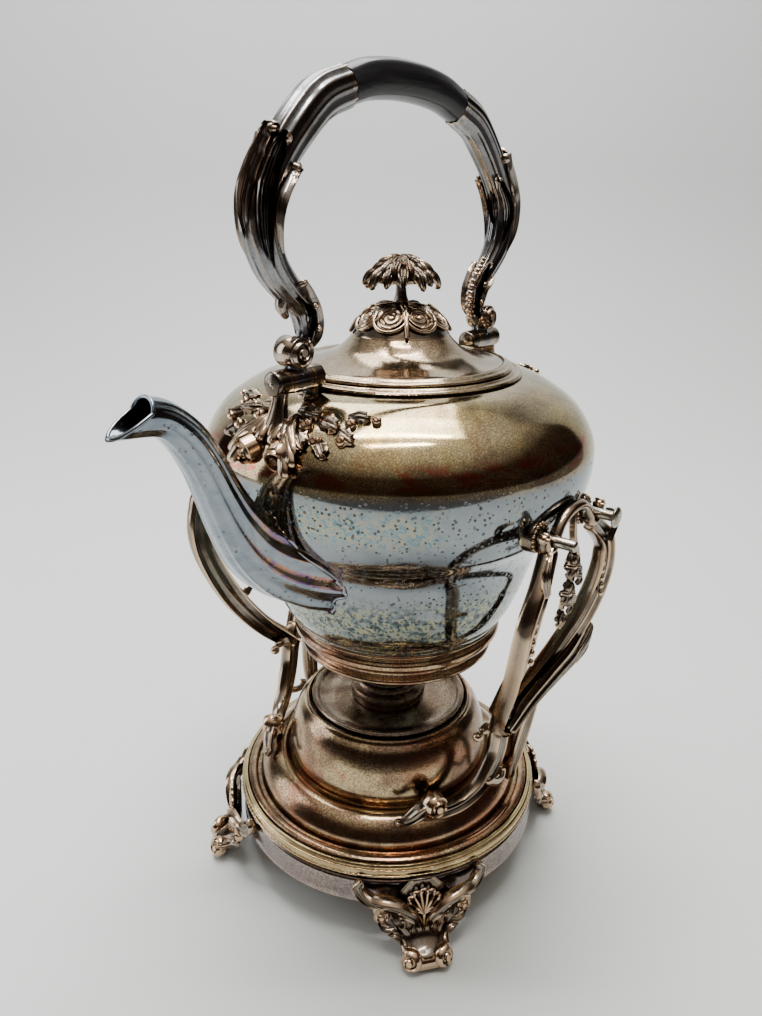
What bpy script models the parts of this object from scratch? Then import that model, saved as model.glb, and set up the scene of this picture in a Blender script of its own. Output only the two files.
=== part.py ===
"""Silver-plated tilting spirit kettle on its lampstand.

World frame: metres, +Z up, spout along -X, the trunnion lines along Y, origin on
the table under the centre of the bounding box.  The stand is the fixed part; the
kettle, its swinging bail handle, its lid, the spirit lamp and the burner head
are separate groups, each under an empty that lies on its own line of motion.
"""
import math

import bmesh
import bpy
from mathutils import Matrix, Vector

MM = 0.001
GAP = 0.3 * MM

# Where the stand's axis stands, measured from the middle of the bounding box.
STAND_X = 28.3 * MM
STAND_Y = 3.1 * MM
# The castings hold the kettle a little behind the stand's axis.
KETTLE_SETBACK = 2.2 * MM
# The kettle's trunnions are longer than the cradles; it sits to one side of its end play.
KETTLE_SIDE_PLAY = -3.5 * MM

# Driving heights above the table.
LAMP_SEAT = 84 * MM
TRUNNION_HEIGHT = 217 * MM
BEZEL_TOP = 274 * MM
HINGE_HEIGHT = 278 * MM

# Driving radii and offsets.
TRUNNION_X = 20.5 * MM
TRUNNION_SHAFT = 2.4 * MM
CRADLE_Y = 97.3 * MM
HINGE_X = 69.5 * MM
KNUCKLE_RADIUS = 5.4 * MM
PIN_RADIUS = 1.5 * MM
# The feet and the castings are soldered on with a slight turn from the kettle's line.
FOOT_TURN = math.radians(5)
CASTING_TURN = math.radians(3)

STEPS = 32

for old in list(bpy.data.objects):
    bpy.data.objects.remove(old)

parts = bpy.data.collections.new("spirit_kettle")
cutters = bpy.data.collections.new("cutters")
bpy.context.scene.collection.children.link(parts)
bpy.context.scene.collection.children.link(cutters)


# ------------------------------------------------------------------ helpers

def material(name, color, metallic, roughness):
    made = bpy.data.materials.new(name)
    made.use_nodes = True
    shader = made.node_tree.nodes["Principled BSDF"]
    shader.inputs["Base Color"].default_value = (*color, 1.0)
    shader.inputs["Metallic"].default_value = metallic
    shader.inputs["Roughness"].default_value = roughness
    return made


def silver(name):
    return material(name, (0.62, 0.60, 0.56), 1.0, 0.25)


def empty(name, location, parent=None):
    made = bpy.data.objects.new(name, None)
    made.location = location
    made.parent = parent
    parts.objects.link(made)
    return made


def add(name, mesh, parent=None, offset=(0, 0, 0), look=None, collection=parts):
    made = bpy.data.objects.new(name, mesh)
    made.parent = parent
    made.location = offset
    collection.objects.link(made)
    mesh.shade_smooth()
    mesh.set_sharp_from_angle(angle=math.radians(40))
    if look is not None and not mesh.materials:
        mesh.materials.append(look)
    return made


def as_cutter(made):
    made.hide_render = True
    made.display_type = "WIRE"
    return made


def in_mm(points):
    return [tuple(value * MM for value in point) for point in points]


def add_screw(made, steps):
    turn = made.modifiers.new("turn", "SCREW")
    turn.angle = math.tau
    turn.steps = steps
    turn.render_steps = steps
    turn.use_merge_vertices = True
    turn.merge_threshold = 0.00001
    turn.use_smooth_shade = True
    return made


def turned(name, outline, parent, offset, look, closed=False, steps=STEPS, collection=parts):
    """Turned piece from an outline of (radius, height) running down its outer side."""
    mesh = bpy.data.meshes.new(name)
    corners = [(radius, 0, height) for radius, height in outline]
    edges = [(index, index + 1) for index in range(len(corners) - 1)]
    if closed:
        edges.append((len(corners) - 1, 0))
    mesh.from_pydata(corners, edges, [])
    return add_screw(add(name, mesh, parent, offset, look, collection), steps)


def baked(made):
    """The object's mesh with its modifiers in it, in the object's own space."""
    graph = bpy.context.evaluated_depsgraph_get()
    graph.update()
    mesh = bpy.data.meshes.new_from_object(made.evaluated_get(graph))
    made.modifiers.clear()
    made.data = mesh
    return made


def boolean(made, tool, operation="DIFFERENCE"):
    step = made.modifiers.new(operation.lower(), "BOOLEAN")
    step.operation = operation
    step.solver = "EXACT"
    step.object = tool
    return made


def fuse(name, pieces, look):
    """Join overlapping closed pieces into one body and return its mesh."""
    first = pieces[0]
    for piece in pieces[1:]:
        boolean(first, piece, "UNION")
        baked(first)
        bpy.data.objects.remove(piece)
    mesh = first.data
    mesh.name = name
    mesh.materials.clear()
    mesh.materials.append(look)
    bpy.data.objects.remove(first)
    return mesh


def loft(name, rings, capped=True, looped=False):
    """Closed skin over rings of equal point counts."""
    shape = bmesh.new()
    loops = [[shape.verts.new(point) for point in ring] for ring in rings]
    pairs = list(zip(loops, loops[1:]))
    if looped:
        pairs.append((loops[-1], loops[0]))
    for lower, upper in pairs:
        for index in range(len(lower)):
            after = (index + 1) % len(lower)
            shape.faces.new((lower[index], lower[after], upper[after], upper[index]))
    if capped and not looped:
        shape.faces.new(loops[0])
        shape.faces.new(loops[-1])
    bmesh.ops.recalc_face_normals(shape, faces=shape.faces)
    mesh = bpy.data.meshes.new(name)
    shape.to_mesh(mesh)
    shape.free()
    return mesh


def ring_about(center, along, side, half_side, half_other, count, lobes=0, depth=0.0):
    """Oval ring across a path; lobes gives a fluted or panelled edge."""
    along = along.normalized()
    side = (side - along * side.dot(along)).normalized()
    other = along.cross(side)
    ring = []
    for index in range(count):
        angle = math.tau * index / count
        swell = 1 + depth * math.cos(lobes * angle)
        ring.append(center + side * (half_side * swell * math.cos(angle))
                    + other * (half_other * swell * math.sin(angle)))
    return ring


def limb(name, path, sizes, side=(0, 1, 0), count=6, flat=1.0):
    """Swept solid along a path in mm.

    Each size is a half width in mm, thinned by flat along the side axis, or a pair of
    half widths along the side axis and across it.
    """
    centers = [Vector(point) for point in in_mm(path)]
    rings = []
    for index, (center, size) in enumerate(zip(centers, sizes)):
        before = centers[max(index - 1, 0)]
        after = centers[min(index + 1, len(centers) - 1)]
        half_side, half_other = size if isinstance(size, tuple) else (size * flat, size)
        rings.append(ring_about(center, after - before, Vector(side), half_side * MM,
                                half_other * MM, count))
    return add(name, loft(name, rings))


def ball(name, center, radii, segments=8, rings=5):
    """Oval ball; center and radii in mm."""
    shape = bmesh.new()
    bmesh.ops.create_uvsphere(shape, u_segments=segments, v_segments=rings, radius=1.0)
    move = Matrix.Translation(Vector(center) * MM) @ Matrix.Diagonal(Vector(radii) * MM).to_4x4()
    bmesh.ops.transform(shape, matrix=move, verts=shape.verts)
    mesh = bpy.data.meshes.new(name)
    shape.to_mesh(mesh)
    shape.free()
    return add(name, mesh)


def rod(name, start, stop, radius, segments=12):
    """Straight round rod between two points in mm."""
    start, stop = Vector(start) * MM, Vector(stop) * MM
    shape = bmesh.new()
    bmesh.ops.create_cone(shape, cap_ends=True, segments=segments, radius1=radius * MM,
                          radius2=radius * MM, depth=(stop - start).length)
    turn = Vector((0, 0, 1)).rotation_difference(stop - start).to_matrix().to_4x4()
    move = Matrix.Translation((start + stop) / 2) @ turn
    bmesh.ops.transform(shape, matrix=move, verts=shape.verts)
    mesh = bpy.data.meshes.new(name)
    shape.to_mesh(mesh)
    shape.free()
    return add(name, mesh)


def block(name, low, high):
    """Box between two corners in mm."""
    low, high = Vector(low) * MM, Vector(high) * MM
    shape = bmesh.new()
    bmesh.ops.create_cube(shape, size=1.0)
    move = Matrix.Translation((low + high) / 2) @ Matrix.Diagonal(high - low).to_4x4()
    bmesh.ops.transform(shape, matrix=move, verts=shape.verts)
    mesh = bpy.data.meshes.new(name)
    shape.to_mesh(mesh)
    shape.free()
    return add(name, mesh)


def cut_mesh(mesh, tool):
    """A loose mesh with a cutter taken out of it."""
    made = add("cutting", mesh)
    boolean(made, tool)
    baked(made)
    result = made.data
    bpy.data.objects.remove(made)
    return result


def mirrored(mesh, name, across=(-1, 1, 1)):
    """Copy of a mesh mirrored fore and aft, or along the axis that across negates."""
    shape = bmesh.new()
    shape.from_mesh(mesh)
    bmesh.ops.transform(shape, matrix=Matrix.Diagonal((*across, 1)), verts=shape.verts)
    bmesh.ops.reverse_faces(shape, faces=shape.faces)
    copy = bpy.data.meshes.new(name)
    shape.to_mesh(copy)
    shape.free()
    return copy


# ------------------------------------------------------------------ frames

stand = empty("stand_frame", (STAND_X, STAND_Y, 0))
kettle = empty("kettle_pivot", (KETTLE_SETBACK - TRUNNION_X, KETTLE_SIDE_PLAY, TRUNNION_HEIGHT),
               stand)
handle = empty("handle_pivot", (TRUNNION_X, 0, HINGE_HEIGHT - TRUNNION_HEIGHT), kettle)
lid = empty("lid_lift", (TRUNNION_X, 0, BEZEL_TOP - TRUNNION_HEIGHT), kettle)
lamp = empty("lamp_lift", (0, 0, LAMP_SEAT), stand)
burner = empty("burner_lift", (0, 0, 0), lamp)

ON_KETTLE = (TRUNNION_X, 0, -TRUNNION_HEIGHT)
ON_HANDLE = (0, 0, -HINGE_HEIGHT)
ON_LID = (0, 0, -BEZEL_TOP)
ON_LAMP = (0, 0, -LAMP_SEAT)


# ------------------------------------------------------------------ stand base

def base_outline():
    """Spun base from the lamp well out over the dome and shoulder and down the skirt."""
    well = [(0, 72), (40.5, 72), (40.5, 83.7), (43.2, 83.7), (43.2, 91.5)]
    dome = [(44.8, 93), (49.2, 87.5), (52.6, 79), (54.3, 69), (54.8, 60)]
    shoulder = [(57, 61.6), (62, 61.8), (67, 58.5), (70.8, 53), (72.4, 48)]
    skirt = [(73.6, 48), (74.4, 49.6), (78.2, 49.2), (78.4, 40), (81.8, 38.6), (81.8, 26.5)]
    return well + dome + shoulder + skirt


def base_underside():
    skirt = [(80.2, 26.5), (79.8, 36.6), (76.2, 38.4), (76.2, 46)]
    shoulder = [(70.9, 46), (68.2, 53), (61, 59), (52.8, 58.2)]
    dome = [(52.2, 69), (49.6, 80), (45.2, 88.4), (44.8, 81.8), (42.2, 81.6)]
    return skirt + shoulder + dome + [(42.2, 70), (0, 70)]


turned("base_shell", in_mm(base_outline() + base_underside()), stand, (0, 0, 0),
       silver("base_silver"))

bead_outline = [(79.2, 48.6), (80.6, 48.2), (82.2, 46.4), (82.4, 43.4), (81, 41.2), (78.9, 40.9),
                (78.8, 44.5)]
turned("base_bead_ring", in_mm(bead_outline), stand, (0, 0, 0), silver("bead_silver"),
       closed=True)

# The space taken up by the base, grown by the working gap: trims what is soldered onto it.
base_space = [(0, 93.5), (45, 93.3), (49.5, 87.7), (52.9, 79.1), (54.6, 69), (55.2, 61),
              (57, 61.9), (62.1, 62.1), (67.2, 58.7), (71.1, 53.2), (72.6, 48.6),
              (74.3, 49.9), (79.3, 49.1), (82.5, 46.6), (82.8, 43.3), (82.5, 40), (82.1, 38.8),
              (82.1, 26.2), (0, 26.2)]
base_clearance = as_cutter(turned("base_clearance", in_mm(base_space), stand, (0, 0, 0),
                                  None, collection=cutters))


# ------------------------------------------------------------------ cast feet

def foot_mesh():
    """Cast foot under the skirt, facing -Y: leaf-topped shield, two wings, two scrolls, toes."""
    shield = [(0, -83.4, 46), (0, -84.4, 40), (0, -85, 32), (0, -85.6, 25), (0, -87, 18),
              (0, -90, 11.5), (0, -94, 6.5), (0, -97, 4.6)]
    spans = [(5, 2.6), (9, 3), (14, 3.2), (18, 3.2), (14, 3.2), (11, 3.2), (9.6, 3.4), (9, 3.4)]
    pieces = [limb("shield", shield, spans, side=(1, 0, 0), count=10),
              ball("palmette", (0, -84.5, 40), (8.5, 4, 8))]
    for side in (-1, 1):
        wing = [(side * 6, -86, 33), (side * 14, -85.2, 37.5), (side * 22, -82.6, 36.5),
                (side * 28, -79.6, 36), (side * 31.5, -77.6, 40)]
        pieces.append(limb("wing", wing, [4, 3.6, 3, 2.6, 1.6], side=(0, 0, 1)))
        pieces.append(ball("scroll", (side * 20.5, -84.6, 25.5), (4.6, 3.6, 4.6)))
        pieces.append(rod("volute", (side * 2, -98, 5), (side * 11, -98, 5), 5.5, 12))
    mesh = fuse("foot", pieces, silver("foot_silver"))
    ground = block("ground", (-60, -130, -20), (60, -60, 0))
    mesh = cut_mesh(mesh, ground)
    bpy.data.objects.remove(ground)
    return mesh


foot = foot_mesh()
for number in range(4):
    made = add(f"foot_{number + 1}", foot.copy(), stand)
    made.rotation_euler = (0, 0, FOOT_TURN - math.pi / 4 + number * math.pi / 2)
    boolean(made, base_clearance)


# ------------------------------------------------------------------ support castings

def cradle_path():
    """Top rail: horn, open cradle, bridge hump, open cradle, horn; runs along X in mm."""
    middle = KETTLE_SETBACK / MM
    near = TRUNNION_X / MM
    drop = TRUNNION_SHAFT / MM + 0.3 + 2.1
    half = TRUNNION_SHAFT / MM + 0.5 + 2.1
    seat = TRUNNION_HEIGHT / MM
    path = [(-near - half - 0.6, seat + 1.6)]
    for center in (-near, near):
        for angle in (180, 225, 270, 315, 360):
            turn = math.radians(angle)
            path.append((center + half * math.cos(turn), seat + drop * math.sin(turn)))
        if center < 0:
            path += [(-11.5, seat + 5), (-5, seat + 8.4), (5, seat + 8.4), (11.5, seat + 5)]
    path.append((near + half + 0.6, seat + 1.6))
    return [(middle + along, -CRADLE_Y / MM, height) for along, height in path]


def turned_path(path, turn):
    """Path in mm turned about the stand's axis."""
    swing = Matrix.Rotation(turn, 3, "Z")
    return [tuple(swing @ Vector(point)) for point in path]


# Lyre-shaped half of a casting from below its rail to where the two arms cross, in mm.
ARM_SWEEP = [(35, -98.4, 199), (39.6, -98, 190), (41.6, -97, 180), (41, -94.8, 168),
             (37.5, -91, 154), (32.8, -86, 141), (26.5, -81, 129), (18, -75.4, 117),
             (8, -71.4, 107), (-1, -70.6, 99)]
ARM_HALVES = [(3, 4.2), (3.2, 5), (3.4, 5.6), (3.6, 6), (3.6, 6), (3.6, 6), (3.6, 6), (3.6, 5.6),
              (3.6, 5.2), (3.8, 5), (4, 4.6)]


def support_mesh(turn):
    """Cast bracket on the -Y side of the stand: rail, crossed lyre arms, two legs, leaves."""
    rail = cradle_path()
    low = -TRUNNION_SHAFT / MM - 2.6
    shoulders = [(KETTLE_SETBACK + end * TRUNNION_X) / MM for end in (-1, 1)]
    pieces = [limb("rail", rail, [2.1] * len(rail), flat=1.25)]
    for along, across, height in (rail[0], rail[-1]):
        pieces.append(ball("horn", (along, across, height + 0.4), (2.6, 2.7, 2.6)))
    for end, start in zip((-1, 1), shoulders):
        sweep = [(end * along, across, height) for along, across, height in ARM_SWEEP]
        top = (start, -CRADLE_Y / MM, TRUNNION_HEIGHT / MM + low)
        pieces.append(limb("arm", [top] + turned_path(sweep, turn), ARM_HALVES, count=8))
    front_leg = [(3, -71, 108), (-2, -70, 98), (-4, -69.8, 89), (-7.4, -68.6, 81), (-14, -66.2, 71.5),
                 (-23.4, -61.4, 65), (-33, -55.8, 63.2), (-38.6, -52, 64)]
    halves = [(3.8, 4.6), (3.8, 4.8), (3.8, 4.8), (3.8, 4.8), (3.8, 4.6), (3.6, 4), (3.2, 3.6), 3]
    pieces.append(limb("front_leg", turned_path(front_leg, turn), halves, count=8))
    rear_leg = [(21, -77.4, 118), (20.4, -75, 104), (18.2, -73, 90), (16, -71, 76),
                (15.2, -69.4, 66), (15, -68.6, 55)]
    pieces.append(limb("rear_leg", turned_path(rear_leg, turn),
                       [(3.4, 3.6), (3.4, 4.6), (3.4, 5), (3.4, 4.8), (3.2, 4.2), 2.6], count=8))
    ornaments = [
        ([(-37, -57, 66.6), (-34, -50.6, 66.6)], [5.8, 5.8]),
        ([(-38, -53.6, 64), (-44.5, -49.4, 62.5), (-50, -45.4, 61.6)], [3.8, 3, 1.8]),
        ([(-9, -68.4, 73), (-2, -69.4, 67), (4.4, -69, 65), (7, -68.6, 67.6)], [3, 2.4, 2, 2.2]),
        ([(-4, -70.4, 102), (-11.5, -68.4, 105.5), (-19, -66.8, 103.8)], [3.4, 2.8, 3.8]),
        ([(29, -83.6, 136), (37.5, -86.6, 137.5), (43.5, -88, 134.6)], [5, 4.4, 1.6]),
        ([(29, -83, 132), (36.6, -85, 130), (41.4, -86.4, 126.6)], [4.6, 3.6, 1.4]),
        ([(-28, -82.4, 132), (-22.5, -81.6, 137.5), (-15.5, -80.6, 140)], [4.4, 3.4, 1.4]),
    ]
    for path, sizes in ornaments:
        pieces.append(limb("ornament", turned_path(path, turn), sizes, count=8))
    return fuse("support", pieces, silver("support_silver"))


right = support_mesh(CASTING_TURN)
left = mirrored(support_mesh(-CASTING_TURN), "support_left", across=(1, -1, 1))
for name, mesh in (("support_right", right), ("support_left", left)):
    boolean(add(name, mesh, stand), base_clearance)


def flower_mesh():
    """Cast flower spray that hangs in the fork of the -Y support."""
    pieces = [limb("stem", [(2.2, -97.3, 222.8), (1, -98.6, 212), (3, -99.4, 202),
                            (1.4, -97.6, 186), (1, -94.6, 171)], [1.8, 2.4, 2.8, 2.6, 2])]
    blooms = [(-1.4, -99.2, 200, 5), (6, -98.6, 193.5, 5.2), (-1, -97.6, 186.5, 5.4),
              (4.4, -96.4, 179, 4.6), (0, -95, 172.4, 3.6)]
    for along, across, height, size in blooms:
        pieces.append(ball("bloom", (along, across, height), (size, size * 0.75, size * 0.9), 8, 4))
    return fuse("support_flower", pieces, silver("flower_silver"))


flower = flower_mesh()
add("support_flower_right", flower, stand)
add("support_flower_left", mirrored(flower, "support_flower_left", across=(1, -1, 1)), stand)


# ------------------------------------------------------------------ kettle body

def body_side(grow=0.0):
    """Outer side of the body from the lid opening down to its foot seam."""
    points = [(57, 271.6), (65.5, 269.4), (73.8, 265), (82.4, 258.8), (88.4, 251), (91.8, 243),
              (92.5, 235), (91.4, 226), (88.6, 216.5), (83.4, 207.5), (76.4, 199.5),
              (71, 191), (67.6, 180), (64.2, 169), (59.8, 158), (54.6, 150)]
    return [(radius * MM + grow, height * MM) for radius, height in points]


def body_outline():
    """Body shell: outer side downwards, then the inside back up to the opening."""
    rim = in_mm([(49.5, 271)])
    bottom = in_mm([(52, 148.5), (0, 148.5)])
    inside = in_mm([(0, 150), (51.5, 150.3), (58, 158), (66, 180), (69.4, 191.4),
                    (79, 204.5), (87, 217), (90.4, 232), (89.4, 245), (81.2, 257.4),
                    (64.9, 267.6), (49.5, 269.4)])
    return inside + rim + body_side() + bottom


body = turned("kettle_body", body_outline(), kettle, ON_KETTLE, silver("body_silver"))

kettle_space = (in_mm([(0, 272.2), (49, 272.2)]) + body_side(1.2 * GAP)
                + in_mm([(52, 147.9), (0, 147.9)]))
kettle_clearance = as_cutter(turned("kettle_clearance", kettle_space, kettle, ON_KETTLE, None,
                                    collection=cutters))

foot_outline = [(52.2, 148.1), (53.4, 146.8), (51.4, 144.8), (53.6, 142), (53.2, 139.2),
                (48, 136.4), (47.6, 133.8), (49.8, 132), (49.4, 129.6), (47, 129.6),
                (45.6, 132), (45.6, 148.1)]
turned("kettle_foot_ring", in_mm(foot_outline), kettle, ON_KETTLE, silver("foot_ring_silver"),
       closed=True)

bezel_outline = [(50.6, 274), (53.2, 274), (54.4, 273), (56.4, 273.2), (57.2, 272.4),
                 (56.8, 271.95), (49.7, 271.35), (49.7, 273.4)]
turned("lid_bezel", in_mm(bezel_outline), kettle, ON_KETTLE, silver("bezel_silver"), closed=True)


# ------------------------------------------------------------------ spout

SPOUT_PATH = [(-57, 198), (-72, 202), (-86, 207.5), (-98, 216.8), (-107, 229.5), (-113.4, 242.5),
              (-119, 255), (-126, 266.5), (-134.5, 274.6), (-142.5, 278.2)]
SPOUT_HEIGHTS = [26, 22.5, 18, 13.6, 10.4, 8.6, 7.8, 7.4, 6.8, 6.2]
SPOUT_WIDTHS = [23, 20, 14.5, 11, 9.2, 8.2, 7.6, 7.2, 6.6, 6.4]


def spout_rings(wall, lip, start=0):
    """Panelled sections along the spout; lip pushes the lower edge of the mouth forward."""
    path = [Vector((along, 0, height)) * MM for along, height in SPOUT_PATH]
    rings = []
    for index in range(start, len(path)):
        center = path[index]
        before = path[max(index - 1, 0)]
        after = path[min(index + 1, len(path) - 1)]
        along = (after - before).normalized()
        ring = ring_about(center, along, Vector((0, 1, 0)), SPOUT_WIDTHS[index] * MM - wall,
                          SPOUT_HEIGHTS[index] * MM - wall, 16, lobes=8, depth=0.02)
        if index == len(path) - 1:
            upward = Vector((0, 1, 0)).cross(along)
            upward *= -1 if upward.z < 0 else 1
            for number, point in enumerate(ring):
                low = max(0.0, -(point - center).dot(upward) / (SPOUT_HEIGHTS[index] * MM))
                reach = Vector((-1, 0, -0.32)) * (lip * low ** 1.5)
                ring[number] = point + reach
        rings.append(ring)
    return rings


wall = 1.1 * MM
lip_reach = 10.5 * MM
outer_rings = spout_rings(0, lip_reach)
inner_rings = spout_rings(wall, lip_reach)
spout = add("spout", loft("spout", outer_rings + inner_rings[::-1], looped=True), kettle,
            ON_KETTLE, silver("spout_silver"))
boolean(spout, kettle_clearance)

passage_ends = [Vector((-54, 0, 199)) * MM, Vector((-96, 0, 199)) * MM]
passage = loft("spout_passage", [ring_about(center, Vector((-1, 0, 0)), Vector((0, 1, 0)),
                                            8 * MM, 13 * MM, 16) for center in passage_ends])
spout_passage = as_cutter(add("spout_passage", passage, kettle, ON_KETTLE, None, cutters))
boolean(body, spout_passage)


# ------------------------------------------------------------------ trunnions

PLAIN_END = [(0, 106), (1.6, 105.9), (2.4, 105.2)]
BUTTON_END = [(0, 106), (3.4, 105.8), (4.6, 105.1), (4.4, 104.3), (2.4, 103.7)]


def trunnion(name, along, side, end):
    """Shaft that rides in a cradle, ending plain or in a button, and the boss at its root."""
    shaft = end + [(2.4, 82), (0, 82)]
    made = turned(name, in_mm(shaft), kettle, ON_KETTLE, silver(name + "_silver"), steps=14)
    boss_outline = [(2.75, 90.6), (4.8, 90.6), (7.2, 89.2), (7.4, 82), (2.75, 82)]
    boss = turned(name.replace("trunnion", "trunnion_boss"), in_mm(boss_outline), kettle,
                  ON_KETTLE, silver(name + "_boss_silver"), closed=True, steps=14)
    for piece in (made, boss):
        piece.location += Vector((along, 0, TRUNNION_HEIGHT))
        piece.rotation_euler = (-side * math.pi / 2, 0, 0)
        boolean(piece, kettle_clearance)


trunnion("trunnion_front_right", -TRUNNION_X, -1, PLAIN_END)
trunnion("trunnion_rear_right", TRUNNION_X, -1, BUTTON_END)
trunnion("trunnion_front_left", -TRUNNION_X, 1, PLAIN_END)
trunnion("trunnion_rear_left", TRUNNION_X, 1, BUTTON_END)


# ------------------------------------------------------------------ handle mounts and hinge pins

def mount_mesh():
    """Cast mount on the spout-side shoulder: plate of leaves, two eyes, two hinge knuckles."""
    middle = HINGE_X / MM
    height = HINGE_HEIGHT / MM
    radius = KNUCKLE_RADIUS / MM
    pieces = []
    for near, far in ((-middle - 12, -middle - 5.9), (-middle + 5.9, -middle + 12)):
        pieces.append(rod("knuckle", (near, 0, height), (far, 0, height), radius, 14))
        pieces.append(block("lug", (near + 0.7, -3.6, 256), (far - 0.7, 3.6, height - 1)))
    pieces.append(limb("plate", [(-59, 0, 266), (-67, 0, 266.4), (-76, 0, 261.5), (-85, 0, 254.5)],
                       [5, 5, 6.5, 6.5], flat=1.6, count=8))
    for side in (-1, 1):
        spray = [(-72, side * 5, 265), (-70, side * 16, 264.5), (-66, side * 27, 264.5),
                 (-60, side * 35, 265)]
        pieces.append(limb("spray", spray, [5.4, 5, 4, 2.4], side=(1, 0, 0), flat=1.2))
        pieces.append(limb("leaf", [(-80, side * 6, 261), (-79, side * 15, 259.5),
                                    (-76, side * 22, 261)], [4.6, 4, 2.2], side=(1, 0, 0)))
        pieces.append(rod("eye", (-82, side * 6.2, 255), (-93.4, side * 6.2, 251.4), 5.2, 12))
    mesh = fuse("mount", pieces, silver("mount_silver"))
    bore = rod("bore", (-middle - 20, 0, height), (-middle + 20, 0, height),
               PIN_RADIUS / MM + 0.3, 12)
    mesh = cut_mesh(mesh, bore)
    bpy.data.objects.remove(bore)
    return mesh


def pin_mesh():
    """Hinge pin with a riveted head at each end, along X."""
    middle = HINGE_X / MM
    height = HINGE_HEIGHT / MM
    pieces = [rod("shank", (-middle - 12.6, 0, height), (-middle + 12.6, 0, height),
                  PIN_RADIUS / MM, 12)]
    for end in (-1, 1):
        pieces.append(rod("head", (-middle + end * 12.3, 0, height),
                          (-middle + end * 13.4, 0, height), 2.8, 12))
    return fuse("hinge_pin", pieces, silver("pin_silver"))


mount = mount_mesh()
pin = pin_mesh()
for name, mesh in (("handle_mount_front", mount), ("handle_mount_rear", mirrored(mount, "mount_rear"))):
    made = add(name, mesh, kettle, ON_KETTLE)
    boolean(made, kettle_clearance)
add("hinge_pin_front", pin, kettle, ON_KETTLE)
add("hinge_pin_rear", mirrored(pin, "hinge_pin_rear"), kettle, ON_KETTLE)


# ------------------------------------------------------------------ bail handle

ARM_PATH = [(-68.5, 289), (-62.5, 297), (-65, 306), (-73.5, 314), (-81.5, 324), (-85, 337),
            (-82, 348.5), (-73.5, 359), (-63, 371.5), (-51, 381.6), (-38, 386.35)]
ARM_SIZES = [5, 6.2, 7, 7.4, 7.8, 7.8, 7.4, 7.6, 8, 7.6, 7]
GRIP_PATH = [(-37.6, 386.5), (-26, 390.75), (-13, 392), (0, 392.2), (13, 392), (26, 390.75),
             (37.6, 386.5)]
GRIP_SIZES = [6.8, 7.5, 7.8, 7.8, 7.8, 7.5, 6.8]
TENON = [(-43.4, 384.4), (-30.5, 389.1)]


def in_plane(points):
    return [(along, 0, height) for along, height in points]


def arm_mesh():
    """Spout-side arm: middle hinge knuckle, lower volute, C-curve with leaf collars, grip socket."""
    middle = HINGE_X / MM
    height = HINGE_HEIGHT / MM
    pieces = [limb("arm", in_plane(ARM_PATH), ARM_SIZES, count=10, flat=0.86)]
    pieces.append(rod("knuckle", (-middle - 5.6, 0, height), (-middle + 5.6, 0, height),
                      KNUCKLE_RADIUS / MM, 14))
    pieces.append(rod("neck", (-middle, 0, height), (-middle, 0, height + 11), 4.2, 10))
    pieces.append(rod("volute", (-middle, -6.4, height + 13.4), (-middle, 6.4, height + 13.4), 6.6, 14))
    for center, size in (((-66, 0, 367.5), 9.2), ((-62, 0, 302), 8.2)):
        pieces.append(ball("leaf_swell", center, (size, size * 0.86, size * 0.8), 8, 5))
    mesh = fuse("handle_arm", pieces, silver("arm_silver"))
    bore = rod("bore", (-middle - 20, 0, height), (-middle + 20, 0, height),
               PIN_RADIUS / MM + 0.3, 12)
    mesh = cut_mesh(mesh, bore)
    bpy.data.objects.remove(bore)
    deeper = [(TENON[0][0] - 0.6, TENON[0][1] - 0.22), TENON[1]]
    socket = limb("socket", in_plane(deeper), [4, 4], count=8)
    mesh = cut_mesh(mesh, socket)
    bpy.data.objects.remove(socket)
    rivet = rod("rivet_hole", (-40, -12, 385.4), (-40, 12, 385.4), 1.4, 12)
    mesh = cut_mesh(mesh, rivet)
    bpy.data.objects.remove(rivet)
    return mesh


def grip_mesh():
    """Ebonised wood grip with a tenon at each end."""
    look = material("ebony", (0.012, 0.012, 0.014), 0.0, 0.2)
    pieces = [limb("grip", in_plane(GRIP_PATH), GRIP_SIZES, count=10, flat=0.94)]
    for end in (-1, 1):
        tenon = in_plane([(-end * along, height) for along, height in TENON])
        pieces.append(limb("tenon", tenon, [3.6, 3.6], count=8))
    mesh = fuse("handle_grip", pieces, look)
    for end in (-1, 1):
        hole = rod("hole", (end * 40, -12, 385.4), (end * 40, 12, 385.4), 1.4, 12)
        mesh = cut_mesh(mesh, hole)
        bpy.data.objects.remove(hole)
    return mesh


arm = arm_mesh()
add("handle_arm_front", arm, handle, ON_HANDLE)
add("handle_arm_rear", mirrored(arm, "handle_arm_rear"), handle, ON_HANDLE)
add("handle_grip", grip_mesh(), handle, ON_HANDLE)
for name, end in (("grip_rivet_front", -1), ("grip_rivet_rear", 1)):
    rivet = fuse(name, [rod(name, (end * 40, -6.3, 385.4), (end * 40, 6.3, 385.4), 1.1, 12)],
                 silver(name + "_silver"))
    add(name, rivet, handle, ON_HANDLE)


# ------------------------------------------------------------------ lid

def lid_outline():
    """Bell-shaped lid: over the top, out to the flange, down the plug and back inside."""
    top = [(2.4, 298.2), (7, 298), (13, 296), (18, 293.2), (22, 289), (25, 285.2), (30, 281.6),
           (37, 278.7), (45, 276.8), (50.6, 276.2), (52.4, 275.3), (52.2, 274.3)]
    plug = [(49.1, 274.3), (49.1, 265.5), (47.9, 265.5), (47.9, 275)]
    inside = [(37, 277.2), (29, 280.6), (21, 287.6), (12, 294.8), (2.4, 296.8)]
    return top + plug + inside


turned("lid_dome", in_mm(lid_outline()), lid, ON_LID, silver("lid_silver"), closed=True)

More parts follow.
